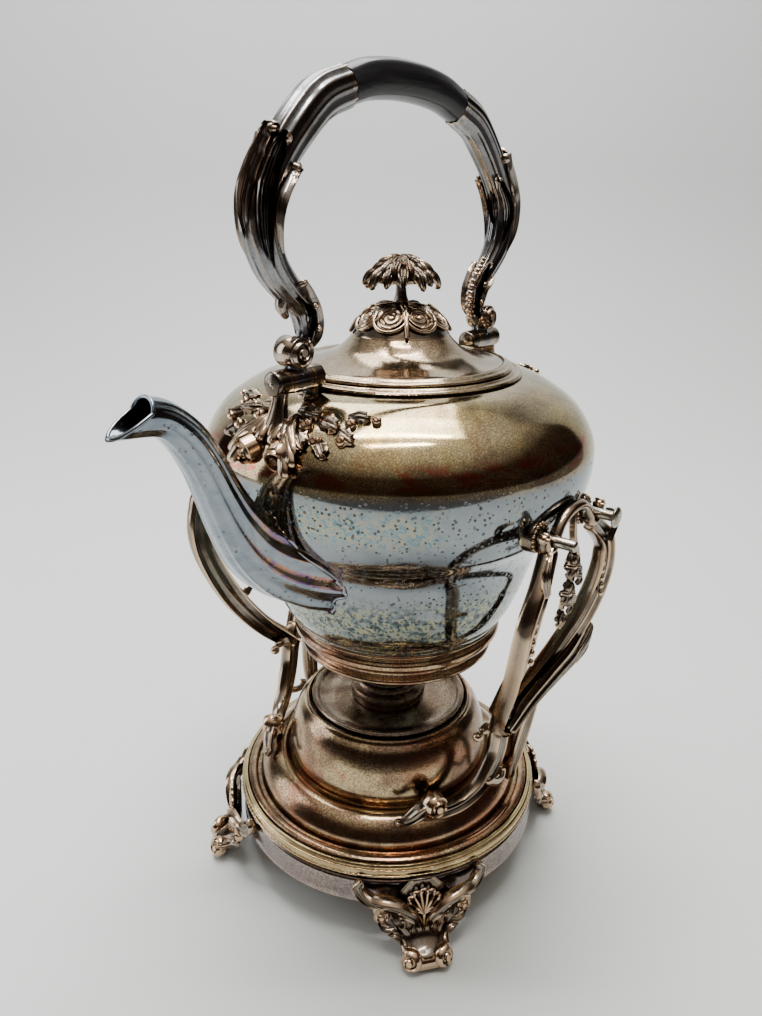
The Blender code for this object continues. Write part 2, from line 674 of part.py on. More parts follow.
collar_outline = [(2.4, 302), (6, 301.8), (8.4, 299.8), (14, 298.4), (20, 294.4), (24, 288),
                  (22.6, 288.8), (18.3, 293.6), (13.1, 296.5), (7, 298.4), (2.4, 298.6)]
turned("lid_collar", in_mm(collar_outline), lid, ON_LID, silver("collar_silver"), closed=True,
       steps=24)


def finial_mesh():
    """Drooping flower on a thin stem, with the threaded stud that passes through the lid."""
    look = silver("finial_silver")
    rings = []
    sections = [(2.0, 287.5, 0), (2.0, 302.3, 0), (3.6, 302.4, 0), (3.2, 304.5, 0), (2.2, 307, 0),
                (2.6, 311, 0), (9, 311.6, 0.08), (15.4, 309.4, 0.14), (17, 311.4, 0.14),
                (14.2, 316.6, 0.12), (8.4, 320.6, 0.08), (2, 321.6, 0)]
    for radius, height, depth in sections:
        center = Vector((0, 0, height * MM))
        rings.append(ring_about(center, Vector((0, 0, 1)), Vector((1, 0, 0)), radius * MM,
                                radius * MM, 24, lobes=8, depth=depth))
    mesh = loft("lid_finial", rings)
    mesh.materials.append(look)
    return mesh


add("lid_finial", finial_mesh(), lid, ON_LID)

nut_outline = [(2.8, 296.2), (6, 295.6), (6, 292.6), (2.8, 292.6)]
turned("finial_nut", in_mm(nut_outline), lid, ON_LID, silver("nut_silver"), closed=True, steps=6)


# ------------------------------------------------------------------ spirit lamp

lamp_outline = [(0, 88.6), (15.4, 88.6), (15.4, 92.6), (21, 92.2), (29, 90), (37.4, 92.6),
                (40.2, 95.6), (41.8, 93.4), (40, 90.6), (42.6, 88), (42.6, 84),
                (40.2, 84), (40.2, 74), (0, 73)]
turned("lamp_reservoir", in_mm(lamp_outline), lamp, ON_LAMP, silver("reservoir_silver"),
       steps=28)

neck_outline = [(14.6, 104.4), (16.8, 104.4), (18, 102.6), (17.4, 100.8), (20, 99.4), (20.4, 96.6),
                (19.6, 92.9), (15.7, 92.9), (14.6, 96)]
turned("lamp_neck", in_mm(neck_outline), lamp, ON_LAMP, silver("neck_silver"), closed=True,
       steps=24)

burner_profile = [(7, 114.5), (11.8, 114.5), (12.6, 113.4), (12.6, 106.6), (15.8, 106), (15.8, 104.7),
                  (14.2, 104.7), (14.2, 92), (7, 92)]
turned("burner_head", in_mm(burner_profile), burner, ON_LAMP, material("burner_brass",
       (0.18, 0.15, 0.11), 1.0, 0.45), closed=True, steps=20)

wick_outline = [(0, 117), (5, 116.8), (6.6, 115), (6.6, 91), (0, 91)]
turned("wick", in_mm(wick_outline), burner, ON_LAMP, material("wick_cotton",
       (0.5, 0.46, 0.38), 0.0, 0.95), steps=16)

bpy.context.view_layer.update()
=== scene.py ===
"""Visual model of the silver-plated spirit kettle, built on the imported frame.

Every piece is drawn in millimetres about the axis of the stand or of the kettle, with
Z up from the table, and then set down where the frame says that axis is.
"""

import math

import bmesh
import bpy
from mathutils import Matrix, Vector


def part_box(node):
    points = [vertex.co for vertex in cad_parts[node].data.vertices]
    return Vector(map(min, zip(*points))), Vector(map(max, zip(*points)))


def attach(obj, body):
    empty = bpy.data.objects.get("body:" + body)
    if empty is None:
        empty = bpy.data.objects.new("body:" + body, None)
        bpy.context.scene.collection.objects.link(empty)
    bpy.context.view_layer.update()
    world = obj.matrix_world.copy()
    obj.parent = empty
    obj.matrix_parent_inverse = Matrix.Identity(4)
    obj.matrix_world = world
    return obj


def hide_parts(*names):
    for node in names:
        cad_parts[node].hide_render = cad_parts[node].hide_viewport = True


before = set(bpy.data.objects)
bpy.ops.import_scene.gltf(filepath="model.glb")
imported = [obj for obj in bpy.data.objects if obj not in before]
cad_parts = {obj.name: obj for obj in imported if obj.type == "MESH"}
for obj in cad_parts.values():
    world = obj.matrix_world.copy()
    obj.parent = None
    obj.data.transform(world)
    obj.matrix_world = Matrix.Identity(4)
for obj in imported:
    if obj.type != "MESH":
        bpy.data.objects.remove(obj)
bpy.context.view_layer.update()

MM = 0.001


def middle(node):
    """Where a turned node's axis meets the table."""
    low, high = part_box(node)
    return Vector(((low.x + high.x) / 2, (low.y + high.y) / 2, 0))


STAND = middle("base_shell")
KETTLE = middle("kettle_body")
TRUNNION_HEIGHT = 217
TRUNNION_X = 20.5
SHAFT_RADIUS = 2.4
HINGE_X = 69.5
HINGE_HEIGHT = 278
FOOT_TURN = math.radians(5)
CASTING_TURN = math.radians(3)
KETTLE_SETBACK = (KETTLE.x - STAND.x) / MM


# ------------------------------------------------------------------ drawing helpers, in mm

def smooth(points, per_span=6):
    """Catmull-Rom run through points with any number of coordinates."""
    rows = [list(point) for point in points]
    first = [2 * a - b for a, b in zip(rows[0], rows[1])]
    last = [2 * a - b for a, b in zip(rows[-1], rows[-2])]
    rows = [first] + rows + [last]
    run = []
    for quad in zip(rows, rows[1:], rows[2:], rows[3:]):
        for step in range(per_span):
            t = step / per_span
            run.append([0.5 * (2 * b + (c - a) * t + (2 * a - 5 * b + 4 * c - d) * t * t
                               + (3 * b - a - 3 * c + d) * t ** 3) for a, b, c, d in zip(*quad)])
    run.append(rows[-2])
    return run


def profile(*runs, per_span=6):
    """Turned outline made of smooth runs that meet at crisp corners."""
    outline = []
    for run in runs:
        outline += smooth(run, per_span) if len(run) > 2 else [list(point) for point in run]
    return outline


def skin(shape, rings, capped=True, looped=False):
    """Faces between neighbouring rings of points, with caps or as a closed loop of rings."""
    loops = [[shape.verts.new(point) for point in ring] for ring in rings]
    pairs = list(zip(loops, loops[1:]))
    if looped:
        pairs.append((loops[-1], loops[0]))
    for lower, upper in pairs:
        for index, corner in enumerate(lower):
            after = (index + 1) % len(lower)
            shape.faces.new((corner, lower[after], upper[after], upper[index]))
    if capped and not looped:
        shape.faces.new(loops[0])
        shape.faces.new(loops[-1])


def lathe(shape, outline, steps=160, waves=0, wave=0.0, closed=False):
    """Turned surface from (radius, height) points; waves round the edge give a milled band."""
    rings = []
    for radius, height in outline:
        ring = []
        for step in range(steps):
            angle = math.tau * step / steps
            reach = radius + (wave * math.cos(waves * angle) if radius > 1 else 0)
            ring.append((reach * math.cos(angle), reach * math.sin(angle), height))
        rings.append(ring)
    skin(shape, rings, capped=False, looped=closed)


def oval(count=16, ribs=0, depth=0.0):
    """Unit oval section, with raised ribs along it."""
    points = []
    for index in range(count):
        angle = math.tau * index / count
        swell = 1 + depth * math.cos(ribs * angle)
        points.append((swell * math.cos(angle), swell * math.sin(angle)))
    return points


def ridged(ridges, count, width):
    """Unit oval section with single raised ridges at given angles in degrees: {angle: height}."""
    points = []
    for index in range(count):
        angle = math.tau * index / count
        swell = 1.0
        for degrees, height in ridges.items():
            away = (angle - math.radians(degrees) + math.pi) % math.tau - math.pi
            swell += height * math.exp(-(away / width) ** 2)
        points.append((swell * math.cos(angle), swell * math.sin(angle)))
    return points


def strap():
    """Unit section of a cast strap: two rounded rims, sunk web, low middle rib."""
    half = [(-1, 0.0), (-0.96, 0.62), (-0.84, 1.0), (-0.7, 0.8), (-0.52, 0.5), (-0.28, 0.5),
            (-0.1, 0.72), (0.1, 0.72), (0.28, 0.5), (0.52, 0.5), (0.7, 0.8), (0.84, 1.0),
            (0.96, 0.62), (1, 0.0)]
    return [(thick, along) for along, thick in half] + [(-thick, along) for along, thick in half[-2:0:-1]]


def square_to(direction, vector):
    """Unit vector at right angles to a direction, as near to the given vector as can be."""
    vector = Vector(vector)
    return (vector - direction * vector.dot(direction)).normalized()


def stations(path, per_span):
    """Share along a smoothed path, row, centre and direction at each of its rows."""
    run = smooth(path, per_span)
    last = len(run) - 1
    for index, row in enumerate(run):
        before = Vector(run[max(index - 1, 0)][:3])
        after = Vector(run[min(index + 1, last)][:3])
        yield index / last, row, Vector(row[:3]), (after - before).normalized()


def sweep(shape, path, section, side=(0, 1, 0), per_span=5, twist=0.0, rounded=True):
    """Sweeps a section along a smooth path of rows (x, y, z, half width, half other width)."""
    rings = []
    for t, row, center, along in stations(path, per_span):
        across = Matrix.Rotation(twist * t, 3, along) @ square_to(along, side)
        other = along.cross(across)
        steps = [(1.0, 0.0)]
        if rounded and t in (0, 1):
            steps = [(0.35, 0.94), (0.68, 0.73), (0.9, 0.43), (1.0, 0.0)]
        reach = -1
        if t > 0:
            reach = 1
            steps = steps[::-1]
        bulge = min(row[3], row[4]) * reach
        for scale, push in steps:
            rings.append([center + along * (push * bulge) + across * (x * row[3] * scale)
                          + other * (y * row[4] * scale) for x, y in section])
    skin(shape, rings)


def knob(shape, center, radii, segments=14, rings=8):
    move = Matrix.Translation(Vector(center)) @ Matrix.Diagonal((*radii, 1))
    bmesh.ops.create_uvsphere(shape, u_segments=segments, v_segments=rings, radius=1, matrix=move)


def drum(shape, center, axis, radius, depth, section=None):
    """Short solid roll round an axis."""
    axis = Vector(axis).normalized()
    ends = [Vector(center) + axis * (depth * end) for end in (-1, -0.92, 0.92, 1)]
    rows = [(*spot, radius * part, radius * part) for spot, part in zip(ends, (0.93, 1, 1, 0.93))]
    sweep(shape, rows, section or oval(24), side=axis.orthogonal(), per_span=1, rounded=False)


def volute(shape, center, axis, start, radius, turns=1.7, depth=2.5, thick=1.1, hand=1):
    """Scroll: a strap coiled inwards round an axis, standing proud of a sunk drum."""
    axis = Vector(axis).normalized()
    first = square_to(axis, start)
    second = axis.cross(first) * hand
    steps = int(turns * 18)
    rows = []
    for step in range(steps + 1):
        t = step / steps
        angle = math.tau * turns * t
        point = Vector(center) + (first * math.cos(angle) + second * math.sin(angle)) * (
            (radius - thick) * (1 - 0.82 * t ** 1.15))
        rows.append((*point, depth * (1 + 0.12 * t), thick * (1 - 0.45 * t)))
    sweep(shape, rows, oval(8), side=axis, per_span=1)
    drum(shape, center, axis, radius - thick, depth * 0.62)
    drum(shape, center, axis, radius * 0.24, depth * 1.15, oval(12))


def leaf(shape, path, normal, lobes=5, cut=0.22, thick=0.5, cup=0.25, veins=3, relief=0.28):
    """Leaf along a path of rows (x, y, z, half width): scalloped edge, veins, cupped."""
    rings = []
    half = 3 * veins
    for t, row, center, along in stations(path, 6):
        up = square_to(along, normal)
        across = along.cross(up)
        width = row[3] * (1 - cut * abs(math.sin(math.pi * lobes * t)) ** 0.7 * (0.2 + 0.8 * t))
        top = []
        under = []
        for step in range(-half, half + 1):
            u = step / half
            rise = cup * row[3] * (1 - u * u) + relief * thick * math.cos(math.tau * veins * u)
            spot = center + across * (u * width) + along * (-0.25 * abs(u) * width * t)
            top.append(spot + up * (rise + thick * (1 - u * u) ** 0.5))
            under.append(spot + up * (rise * 0.4 - thick * 0.6))
        rings.append(top + under[::-1])
    skin(shape, rings)


def blossom(shape, center, facing, radius):
    """Small open flower: rounded petals round a raised button."""
    petals = 6
    facing = Vector(facing).normalized()
    first = facing.orthogonal().normalized()
    second = facing.cross(first)
    center = Vector(center)
    for index in range(petals):
        angle = math.tau * index / petals
        out = first * math.cos(angle) + second * math.sin(angle)
        path = [(*(center + out * (radius * reach) + facing * (radius * lift)), radius * width)
                for reach, lift, width in ((0.15, 0.2, 0.16), (0.5, 0.34, 0.42), (0.8, 0.2, 0.46),
                                           (1.0, -0.06, 0.2))]
        leaf(shape, path, facing, lobes=1, cut=0.1, thick=radius * 0.12, veins=2)
    knob(shape, center + facing * (radius * 0.3), [radius * 0.3] * 3, 10, 6)


def mirror(shape):
    """Adds the mirror image across X of all that is drawn so far."""
    both = bmesh.ops.duplicate(shape, geom=shape.verts[:] + shape.edges[:] + shape.faces[:])
    copies = [item for item in both["geom"] if isinstance(item, bmesh.types.BMVert)]
    bmesh.ops.transform(shape, matrix=Matrix.Diagonal((-1, 1, 1, 1)), verts=copies)


def smooth_object(name, shape, look):
    """Object in metres, shaded smooth, from a shape drawn in mm."""
    mesh = bpy.data.meshes.new(name)
    shape.to_mesh(mesh)
    shape.free()
    mesh.transform(Matrix.Scale(MM, 4))
    mesh.shade_smooth()
    mesh.materials.append(look)
    made = bpy.data.objects.new(name, mesh)
    bpy.context.scene.collection.objects.link(made)
    return made


def piece(name, shape, body, node_name, look, turn=0.0, across=None):
    """Sets a shape down in the frame as the piece that stands for a node."""
    bmesh.ops.remove_doubles(shape, verts=shape.verts, dist=0.0005)
    if across:
        bmesh.ops.transform(shape, matrix=Matrix.Diagonal((*across, 1)), verts=shape.verts)
    bmesh.ops.recalc_face_normals(shape, faces=shape.faces)
    made = smooth_object(name, shape, look)
    made.data.set_sharp_from_angle(angle=math.radians(50))
    made.location = STAND if body in ("stand", "lamp", "burner") else KETTLE
    made.rotation_euler.z = turn
    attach(made, body)
    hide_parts(node_name)


def turned_piece(name, body, node_name, look, outline, steps, slot="plated_silver", **milling):
    """Piece that is one turned outline."""
    shape = bmesh.new()
    lathe(shape, outline, steps, **milling)
    piece(name, shape, body, node_name, look)


# ------------------------------------------------------------------ materials

def new_look(name):
    """New material with its node tree, its shader and object space."""
    made = bpy.data.materials.new(name)
    made.use_nodes = True
    tree = made.node_tree
    return made, tree, tree.nodes["Principled BSDF"], node(tree, "TexCoord", "Object")


def feed(tree, socket, value):
    """Sets a socket, or links it when the value is another node's output."""
    if isinstance(value, bpy.types.NodeSocket):
        tree.links.new(value, socket)
    elif isinstance(value, tuple) and len(value) == 3 and socket.type == "RGBA":
        socket.default_value = (*value, 1)
    else:
        socket.default_value = value


def node(tree, kind, output=0, **inputs):
    made = tree.nodes.new("ShaderNode" + kind)
    for key, value in inputs.items():
        feed(tree, made.inputs[key.replace("_", " ")], value)
    return made.outputs[output]


def mix(tree, factor, first, second, blend="MIX"):
    made = tree.nodes.new("ShaderNodeMix")
    made.data_type = "RGBA"
    made.blend_type = blend
    feed(tree, made.inputs[0], factor)
    feed(tree, made.inputs[6], first)
    feed(tree, made.inputs[7], second)
    return made.outputs[2]


def math_node(tree, operation, first, second):
    made = tree.nodes.new("ShaderNodeMath")
    made.operation = operation
    feed(tree, made.inputs[0], first)
    feed(tree, made.inputs[1], second)
    return made.outputs[0]


def times(tree, first, second):
    return math_node(tree, "MULTIPLY", first, second)


def laid_over(tree, color, zone, strength, top):
    """Colour with another laid over it where a zone is, at a given strength."""
    return mix(tree, times(tree, zone, strength), color, top)


def ramp(tree, value, *stops):
    """Colour ramp with stops of (position, colour or grey)."""
    made = tree.nodes.new("ShaderNodeValToRGB")
    feed(tree, made.inputs[0], value)
    elements = made.color_ramp.elements
    while len(elements) < len(stops):
        elements.new(0.5)
    for element, (position, color) in zip(elements, stops):
        element.position = position
        element.color = (*color, 1) if isinstance(color, tuple) else (color, color, color, 1)
    return made.outputs[0]


def spots(tree, spread, where, scale, detail=4.0, stretch=None):
    """Noise value over object space; spread distorts it, stretch squeezes it along an axis."""
    if stretch:
        where = node(tree, "Mapping", Vector=where, Scale=stretch)
    return node(tree, "TexNoise", Vector=where, Scale=scale, Detail=detail, Roughness=0.6, Distortion=spread)


def blotches(tree, where, spread, scale, low, high, detail=4.0, stretch=None):
    """Noise cut to blotches: 0 below one value and 1 above another."""
    return ramp(tree, spots(tree, spread, where, scale, detail, stretch), (low, 0.0), (high, 1.0))


def band(tree, height, low, high, soft):
    """1 between two heights in metres, falling off over soft on either side."""
    sides = []
    for start, end in ((low - soft, low + soft), (high + soft, high - soft)):
        made = tree.nodes.new("ShaderNodeMapRange")
        made.interpolation_type = "SMOOTHSTEP"
        feed(tree, made.inputs["Value"], height)
        made.inputs["From Min"].default_value = start
        made.inputs["From Max"].default_value = end
        sides.append(made.outputs[0])
    return times(tree, *sides)


def painted_shade(tree, distance, full, none):
    """Painted shade from ambient occlusion: 1 in recesses, falling to 0 where the surface is open."""
    shade = tree.nodes.new("ShaderNodeAmbientOcclusion")
    shade.samples = 6
    shade.inputs["Distance"].default_value = distance
    return ramp(tree, shade.outputs["AO"], (full, 1.0), (none, 0.0))


def surface(tree, shader, color, roughness, relief, strength, depth, metal=1.0):
    """Feeds the shader its colour, roughness and bump; depth is in metres."""
    feed(tree, shader.inputs["Base Color"], color)
    shader.inputs["Metallic"].default_value = metal
    feed(tree, shader.inputs["Roughness"], roughness)
    bump = node(tree, "Bump", Strength=strength, Distance=depth, Height=relief)
    feed(tree, shader.inputs["Normal"], bump)


def body_silver():
    """Kettle body: gilt-brown patina above, pale mirror with pits and oil-film tints below."""
    look, tree, shader, where = new_look("kettle_silver")
    height = node(tree, "SeparateXYZ", "Z", Vector=where)
    cloud = spots(tree, 0.6, where, 22.0)
    streak = spots(tree, 1.2, where, 60.0, stretch=(1.0, 1.0, 2.6))
    sparkle = spots(tree, 0.0, where, 1500.0, detail=1.0)
    pale = ramp(tree, cloud, (0.3, (0.165, 0.19, 0.215)), (0.55, (0.25, 0.27, 0.29)),
                (0.75, (0.20, 0.215, 0.235)))
    tan = ramp(tree, cloud, (0.28, (0.29, 0.195, 0.125)), (0.45, (0.46, 0.35, 0.22)),
               (0.6, (0.60, 0.49, 0.29)), (0.75, (0.54, 0.35, 0.15)))
    gilt = blotches(tree, where, 1.2, 11.0, 0.48, 0.62, detail=6.0)
    tan = laid_over(tree, tan, gilt, 0.7, (0.68, 0.51, 0.15))
    umber = blotches(tree, where, 1.6, 30.0, 0.50, 0.64, detail=7.0)
    tan = laid_over(tree, tan, umber, 0.6, (0.26, 0.165, 0.11))
    glint = ramp(tree, sparkle, (0.42, 0.60), (0.6, 1.0), (0.7, 1.35))
    tan = mix(tree, 1.0, tan, glint, "MULTIPLY")
    upper = band(tree, height, 0.2395, 0.30, 0.0025)
    color = mix(tree, upper, pale, tan)
    worn = times(tree, band(tree, height, 0.243, 0.2515, 0.002),
                 blotches(tree, where, 1.5, 40.0, 0.49, 0.53, detail=7.0, stretch=(1.0, 1.0, 2.2)))
    color = laid_over(tree, color, worn, 0.8, (0.46, 0.10, 0.07))
    patch = blotches(tree, where, 0.8, 13.0, 0.49, 0.58)
    film_zone = times(tree, band(tree, height, 0.219, 0.236, 0.006), patch)
    film = ramp(tree, spots(tree, 1.0, where, 480.0, detail=3.0), (0.3, (0.06, 0.13, 0.18)),
                (0.42, (0.13, 0.24, 0.27)), (0.5, (0.28, 0.32, 0.27)), (0.6, (0.42, 0.35, 0.18)),
                (0.7, (0.22, 0.17, 0.26)))
    color = laid_over(tree, color, film_zone, 0.7, film)
    low_zone = times(tree, band(tree, height, 0.147, 0.180, 0.010),
                     ramp(tree, streak, (0.3, 0.0), (0.5, 1.0)))
    crust = ramp(tree, spots(tree, 0.5, where, 420.0, detail=3.0), (0.40, (0.02, 0.024, 0.024)),
                 (0.46, (0.08, 0.12, 0.13)), (0.54, (0.28, 0.30, 0.22)), (0.62, (0.42, 0.35, 0.13)),
                 (0.70, (0.04, 0.09, 0.10)))
    color = laid_over(tree, color, low_zone, 0.85, crust)
    cells = node(tree, "TexVoronoi", "Distance", Vector=where, Scale=420.0, Randomness=1.0)
    pit = ramp(tree, cells, (0.05, 0.25), (0.14, 1.0), (0.22, 1.0), (0.28, 0.0))
    pit_zone = math_node(tree, "MAXIMUM", film_zone, low_zone)
    scatter = blotches(tree, where, 0.0, 95.0, 0.42, 0.52, detail=2.0)
    pit_zone = math_node(tree, "MAXIMUM", pit_zone, scatter)
    below = math_node(tree, "SUBTRACT", 1.0, upper)
    pits = times(tree, times(tree, pit, pit_zone), below)
    color = laid_over(tree, color, pits, 0.85, (0.05, 0.05, 0.055))
    haze = ramp(tree, cloud, (0.35, 0.07), (0.7, 0.15))
    mirror_like = ramp(tree, streak, (0.4, 0.05), (0.7, 0.14))
    roughness = mix(tree, upper, mirror_like, haze)
    roughness = mix(tree, pits, roughness, (0.5, 0.5, 0.5))
    relief = math_node(tree, "SUBTRACT", times(tree, sparkle, 0.08), pits)
    surface(tree, shader, color, roughness, relief, 0.35, 0.0003)
    return look


def aged_silver(name, bright, middle_tone, dark, warm, roughness, recess_shade, edge, grain=1.0, low=None):
    """Tarnished plate: cloudy colour, grain with painted glints, painted shade in the recesses, copper on the
    rubbed edges.

    low is (height in metres, colour) for a tint that takes over below that height.
    """
    look, tree, shader, where = new_look(name)
    cloud = spots(tree, 0.8, where, 38.0, detail=6.0)
    color = ramp(tree, cloud, (0.3, dark), (0.45, middle_tone), (0.58, bright), (0.72, middle_tone))
    tint = blotches(tree, where, 1.0, 26.0, 0.48, 0.62, detail=5.0)
    color = laid_over(tree, color, tint, 0.55, warm)
    if low:
        height = node(tree, "SeparateXYZ", "Z", Vector=where)
        under = times(tree, band(tree, height, 0.0, low[0], 0.002), 0.75)
        color = mix(tree, under, color, low[1])
    sparkle = spots(tree, 0.0, where, 1300.0, detail=1.0)
    # painted glints: fine speckle that darkens and brightens the colour
    glint = ramp(tree, sparkle, (0.4, 1 - 0.45 * grain), (0.62, 1.0 + 0.25 * grain))
    color = mix(tree, 1.0, color, glint, "MULTIPLY")
    rim = ramp(tree, node(tree, "NewGeometry", "Pointiness"), (0.52, 0.0), (0.58, 1.0))
    color = laid_over(tree, color, rim, edge, (0.82, 0.57, 0.37))
    # painted shade: recesses darkened to near black from ambient occlusion, at the given strength
    color = laid_over(tree, color, painted_shade(tree, 0.004, 0.22, 0.70), recess_shade, (0.03, 0.025, 0.022))
    haze = ramp(tree, cloud, (0.3, roughness * 1.5), (0.7, roughness * 0.8))
    surface(tree, shader, color, haze, sparkle, 0.2 * grain, 0.0002)
    return look


def spout_silver():
    """Spout: pale blue silver, brown on top, a violet to orange oil-film stripe at the root."""
    look, tree, shader, where = new_look("spout_silver")
    upward = node(tree, "SeparateXYZ", "Z", Vector=node(tree, "TexCoord", "Normal"))
    streak = spots(tree, 1.0, where, 70.0, detail=5.0)
    pale = ramp(tree, streak, (0.3, (0.15, 0.18, 0.22)), (0.55, (0.26, 0.29, 0.32)),
                (0.7, (0.20, 0.22, 0.25)))
    brown = ramp(tree, streak, (0.35, (0.16, 0.12, 0.09)), (0.65, (0.38, 0.29, 0.20)))
    wavy = math_node(tree, "ADD", upward, times(tree, streak, 0.35))
    length = node(tree, "SeparateXYZ", "X", Vector=where)
    near_root = band(tree, length, -0.104, 0.0, 0.012)
    on_top = times(tree, near_root, ramp(tree, wavy, (0.32, 0.0), (0.42, 1.0)))
    color = mix(tree, on_top, pale, brown)
    film_zone = times(tree, near_root,
                      ramp(tree, wavy, (0.16, 0.0), (0.26, 1.0), (0.34, 1.0), (0.42, 0.0)))
    film = ramp(tree, spots(tree, 1.5, where, 90.0, detail=4.0), (0.3, (0.06, 0.12, 0.34)),
                (0.44, (0.20, 0.07, 0.26)), (0.55, (0.55, 0.20, 0.07)), (0.68, (0.60, 0.40, 0.14)))
    color = laid_over(tree, color, film_zone, 0.75, film)
    cells = node(tree, "TexVoronoi", "Distance", Vector=where, Scale=380.0)
    scatter = blotches(tree, where, 0.0, 110.0, 0.46, 0.56, detail=2.0)
    pits = times(tree, ramp(tree, cells, (0.16, 1.0), (0.28, 0.0)), scatter)
    color = laid_over(tree, color, pits, 0.8, (0.08, 0.075, 0.075))
    # painted shade: recesses between the ribs darkened from ambient occlusion
    color = laid_over(tree, color, painted_shade(tree, 0.005, 0.3, 0.8), 0.75, (0.04, 0.03, 0.025))
    grain = spots(tree, 0.0, where, 900.0, detail=2.0)
    relief = math_node(tree, "SUBTRACT", times(tree, grain, 0.3), pits)
    surface(tree, shader, color, ramp(tree, streak, (0.35, 0.07), (0.7, 0.2)), relief, 0.3, 0.0003)
    return look


def ebony():
    """Ebonised grip: near-black lacquer over faint lengthwise grain, with small scuffs."""
    look, tree, shader, where = new_look("ebony_grip")
    fibre = spots(tree, 0.4, where, 60.0, detail=6.0, stretch=(0.25, 3.0, 3.0))
    color = ramp(tree, fibre, (0.35, (0.008, 0.008, 0.010)), (0.6, (0.020, 0.019, 0.021)),
                 (0.75, (0.038, 0.030, 0.027)))
    scuff = ramp(tree, spots(tree, 1.0, where, 160.0, detail=5.0), (0.4, 0.2), (0.7, 0.27))
    shader.inputs["Specular IOR Level"].default_value = 0.3
    shader.inputs["Coat Weight"].default_value = 0.05
    shader.inputs["Coat Roughness"].default_value = 0.12
    surface(tree, shader, color, scuff, fibre, 0.12, 0.0002, metal=0.0)
    return look


def wick_cotton():
    """Woven cotton wick, singed at the top."""
    look, tree, shader, where = new_look("wick_cotton")
    weave = node(tree, "TexWave", Vector=where, Scale=900.0, Distortion=2.0, Detail=2.0)
    height = node(tree, "SeparateXYZ", "Z", Vector=where)
    singed = band(tree, height, 0.1158, 0.13, 0.001)
    cotton = ramp(tree, weave, (0.2, (0.30, 0.26, 0.20)), (0.8, (0.60, 0.55, 0.45)))
    color = mix(tree, singed, cotton, (0.03, 0.025, 0.02))
    surface(tree, shader, color, 0.95, weave, 0.6, 0.0003, metal=0.0)
    return look


BODY = body_silver()
SPOUT = spout_silver()
LID = aged_silver("lid_silver", (0.52, 0.41, 0.27), (0.38, 0.28, 0.18), (0.22, 0.155, 0.10),
                  (0.34, 0.24, 0.15), roughness=0.11, grain=0.7, recess_shade=0.6, edge=0.2)
BASE = aged_silver("base_silver", (0.50, 0.38, 0.22), (0.27, 0.18, 0.115), (0.12, 0.075, 0.055),
                   (0.40, 0.16, 0.085), roughness=0.16, recess_shade=0.6, edge=0.25,
                   low=(0.040, (0.29, 0.25, 0.25)))
BEADING = aged_silver("bead_silver", (0.66, 0.53, 0.28), (0.50, 0.38, 0.20), (0.28, 0.20, 0.11),
                      (0.56, 0.38, 0.18), roughness=0.15, grain=0.6, recess_shade=0.6, edge=0.3)
CAST = aged_silver("cast_silver", (0.21, 0.185, 0.155), (0.12, 0.099, 0.078), (0.05, 0.039, 0.031),
                   (0.20, 0.13, 0.08), roughness=0.15, grain=0.35, recess_shade=0.82, edge=0.75)
GUNMETAL = aged_silver("handle_silver", (0.24, 0.24, 0.25), (0.15, 0.15, 0.155),
                       (0.07, 0.067, 0.067), (0.16, 0.12, 0.095), roughness=0.14, grain=0.4, recess_shade=0.8,
                       edge=0.45)
SHAFT = aged_silver("shaft_silver", (0.55, 0.51, 0.45), (0.40, 0.36, 0.30), (0.22, 0.18, 0.15),
                    (0.42, 0.28, 0.18), roughness=0.2, recess_shade=0.6, edge=0.3)
LAMP = aged_silver("lamp_bronze", (0.32, 0.25, 0.18), (0.22, 0.16, 0.12), (0.12, 0.08, 0.06),
                   (0.28, 0.17, 0.11), roughness=0.24, recess_shade=0.8, edge=0.2)
BURNER = aged_silver("burner_brass", (0.18, 0.15, 0.11), (0.12, 0.095, 0.07), (0.06, 0.045, 0.035),
                     (0.18, 0.11, 0.06), roughness=0.4, recess_shade=0.8, edge=0.2)
EBONY = ebony()
COTTON = wick_cotton()


# ------------------------------------------------------------------ base of the stand

def build_base():
    outside = profile(
        [(0, 72), (40.5, 72)],
        [(40.5, 72.2), (40.5, 83.7)],
        [(42.6, 83.8), (42.9, 91)],
        [(43, 91.8), (43.6, 93), (44.6, 93.2), (45.4, 92.4)],
        [(45.6, 91.6), (49.2, 87.5), (52.6, 79), (54.3, 69), (54.8, 61.2)],
        [(55, 60.4), (56, 60.9), (57.4, 62), (60, 62.4), (63, 61.6), (67, 58.5), (70.4, 53.6),
         (71.6, 49.4)],
        [(71.8, 48.2), (73.4, 48)],
        [(73.6, 48.6), (74.4, 49.8), (76.4, 50), (78.2, 49.2)],
        [(78.4, 48.6), (78.4, 40.2)],
        [(79.2, 39.9), (80.8, 39.4), (81.7, 37.6), (81.8, 34), (81.6, 29.5), (81.8, 27.6)],
        [(82, 27.2), (82, 26.5)])
    inside = profile([(81, 26.5), (80.2, 26.6)], [(79.8, 36.6), (76.2, 38.4)], [(76.2, 46), (70.9, 46)],
                     [(68.2, 53), (61, 59), (52.8, 58.4)], [(52.2, 69), (49.6, 80), (45.2, 88.4)],
                     [(44.8, 81.8), (42.2, 81.6)], [(42.2, 70), (0, 70)])
    turned_piece("base", "stand", "base_shell", BASE, outside + inside, 180)


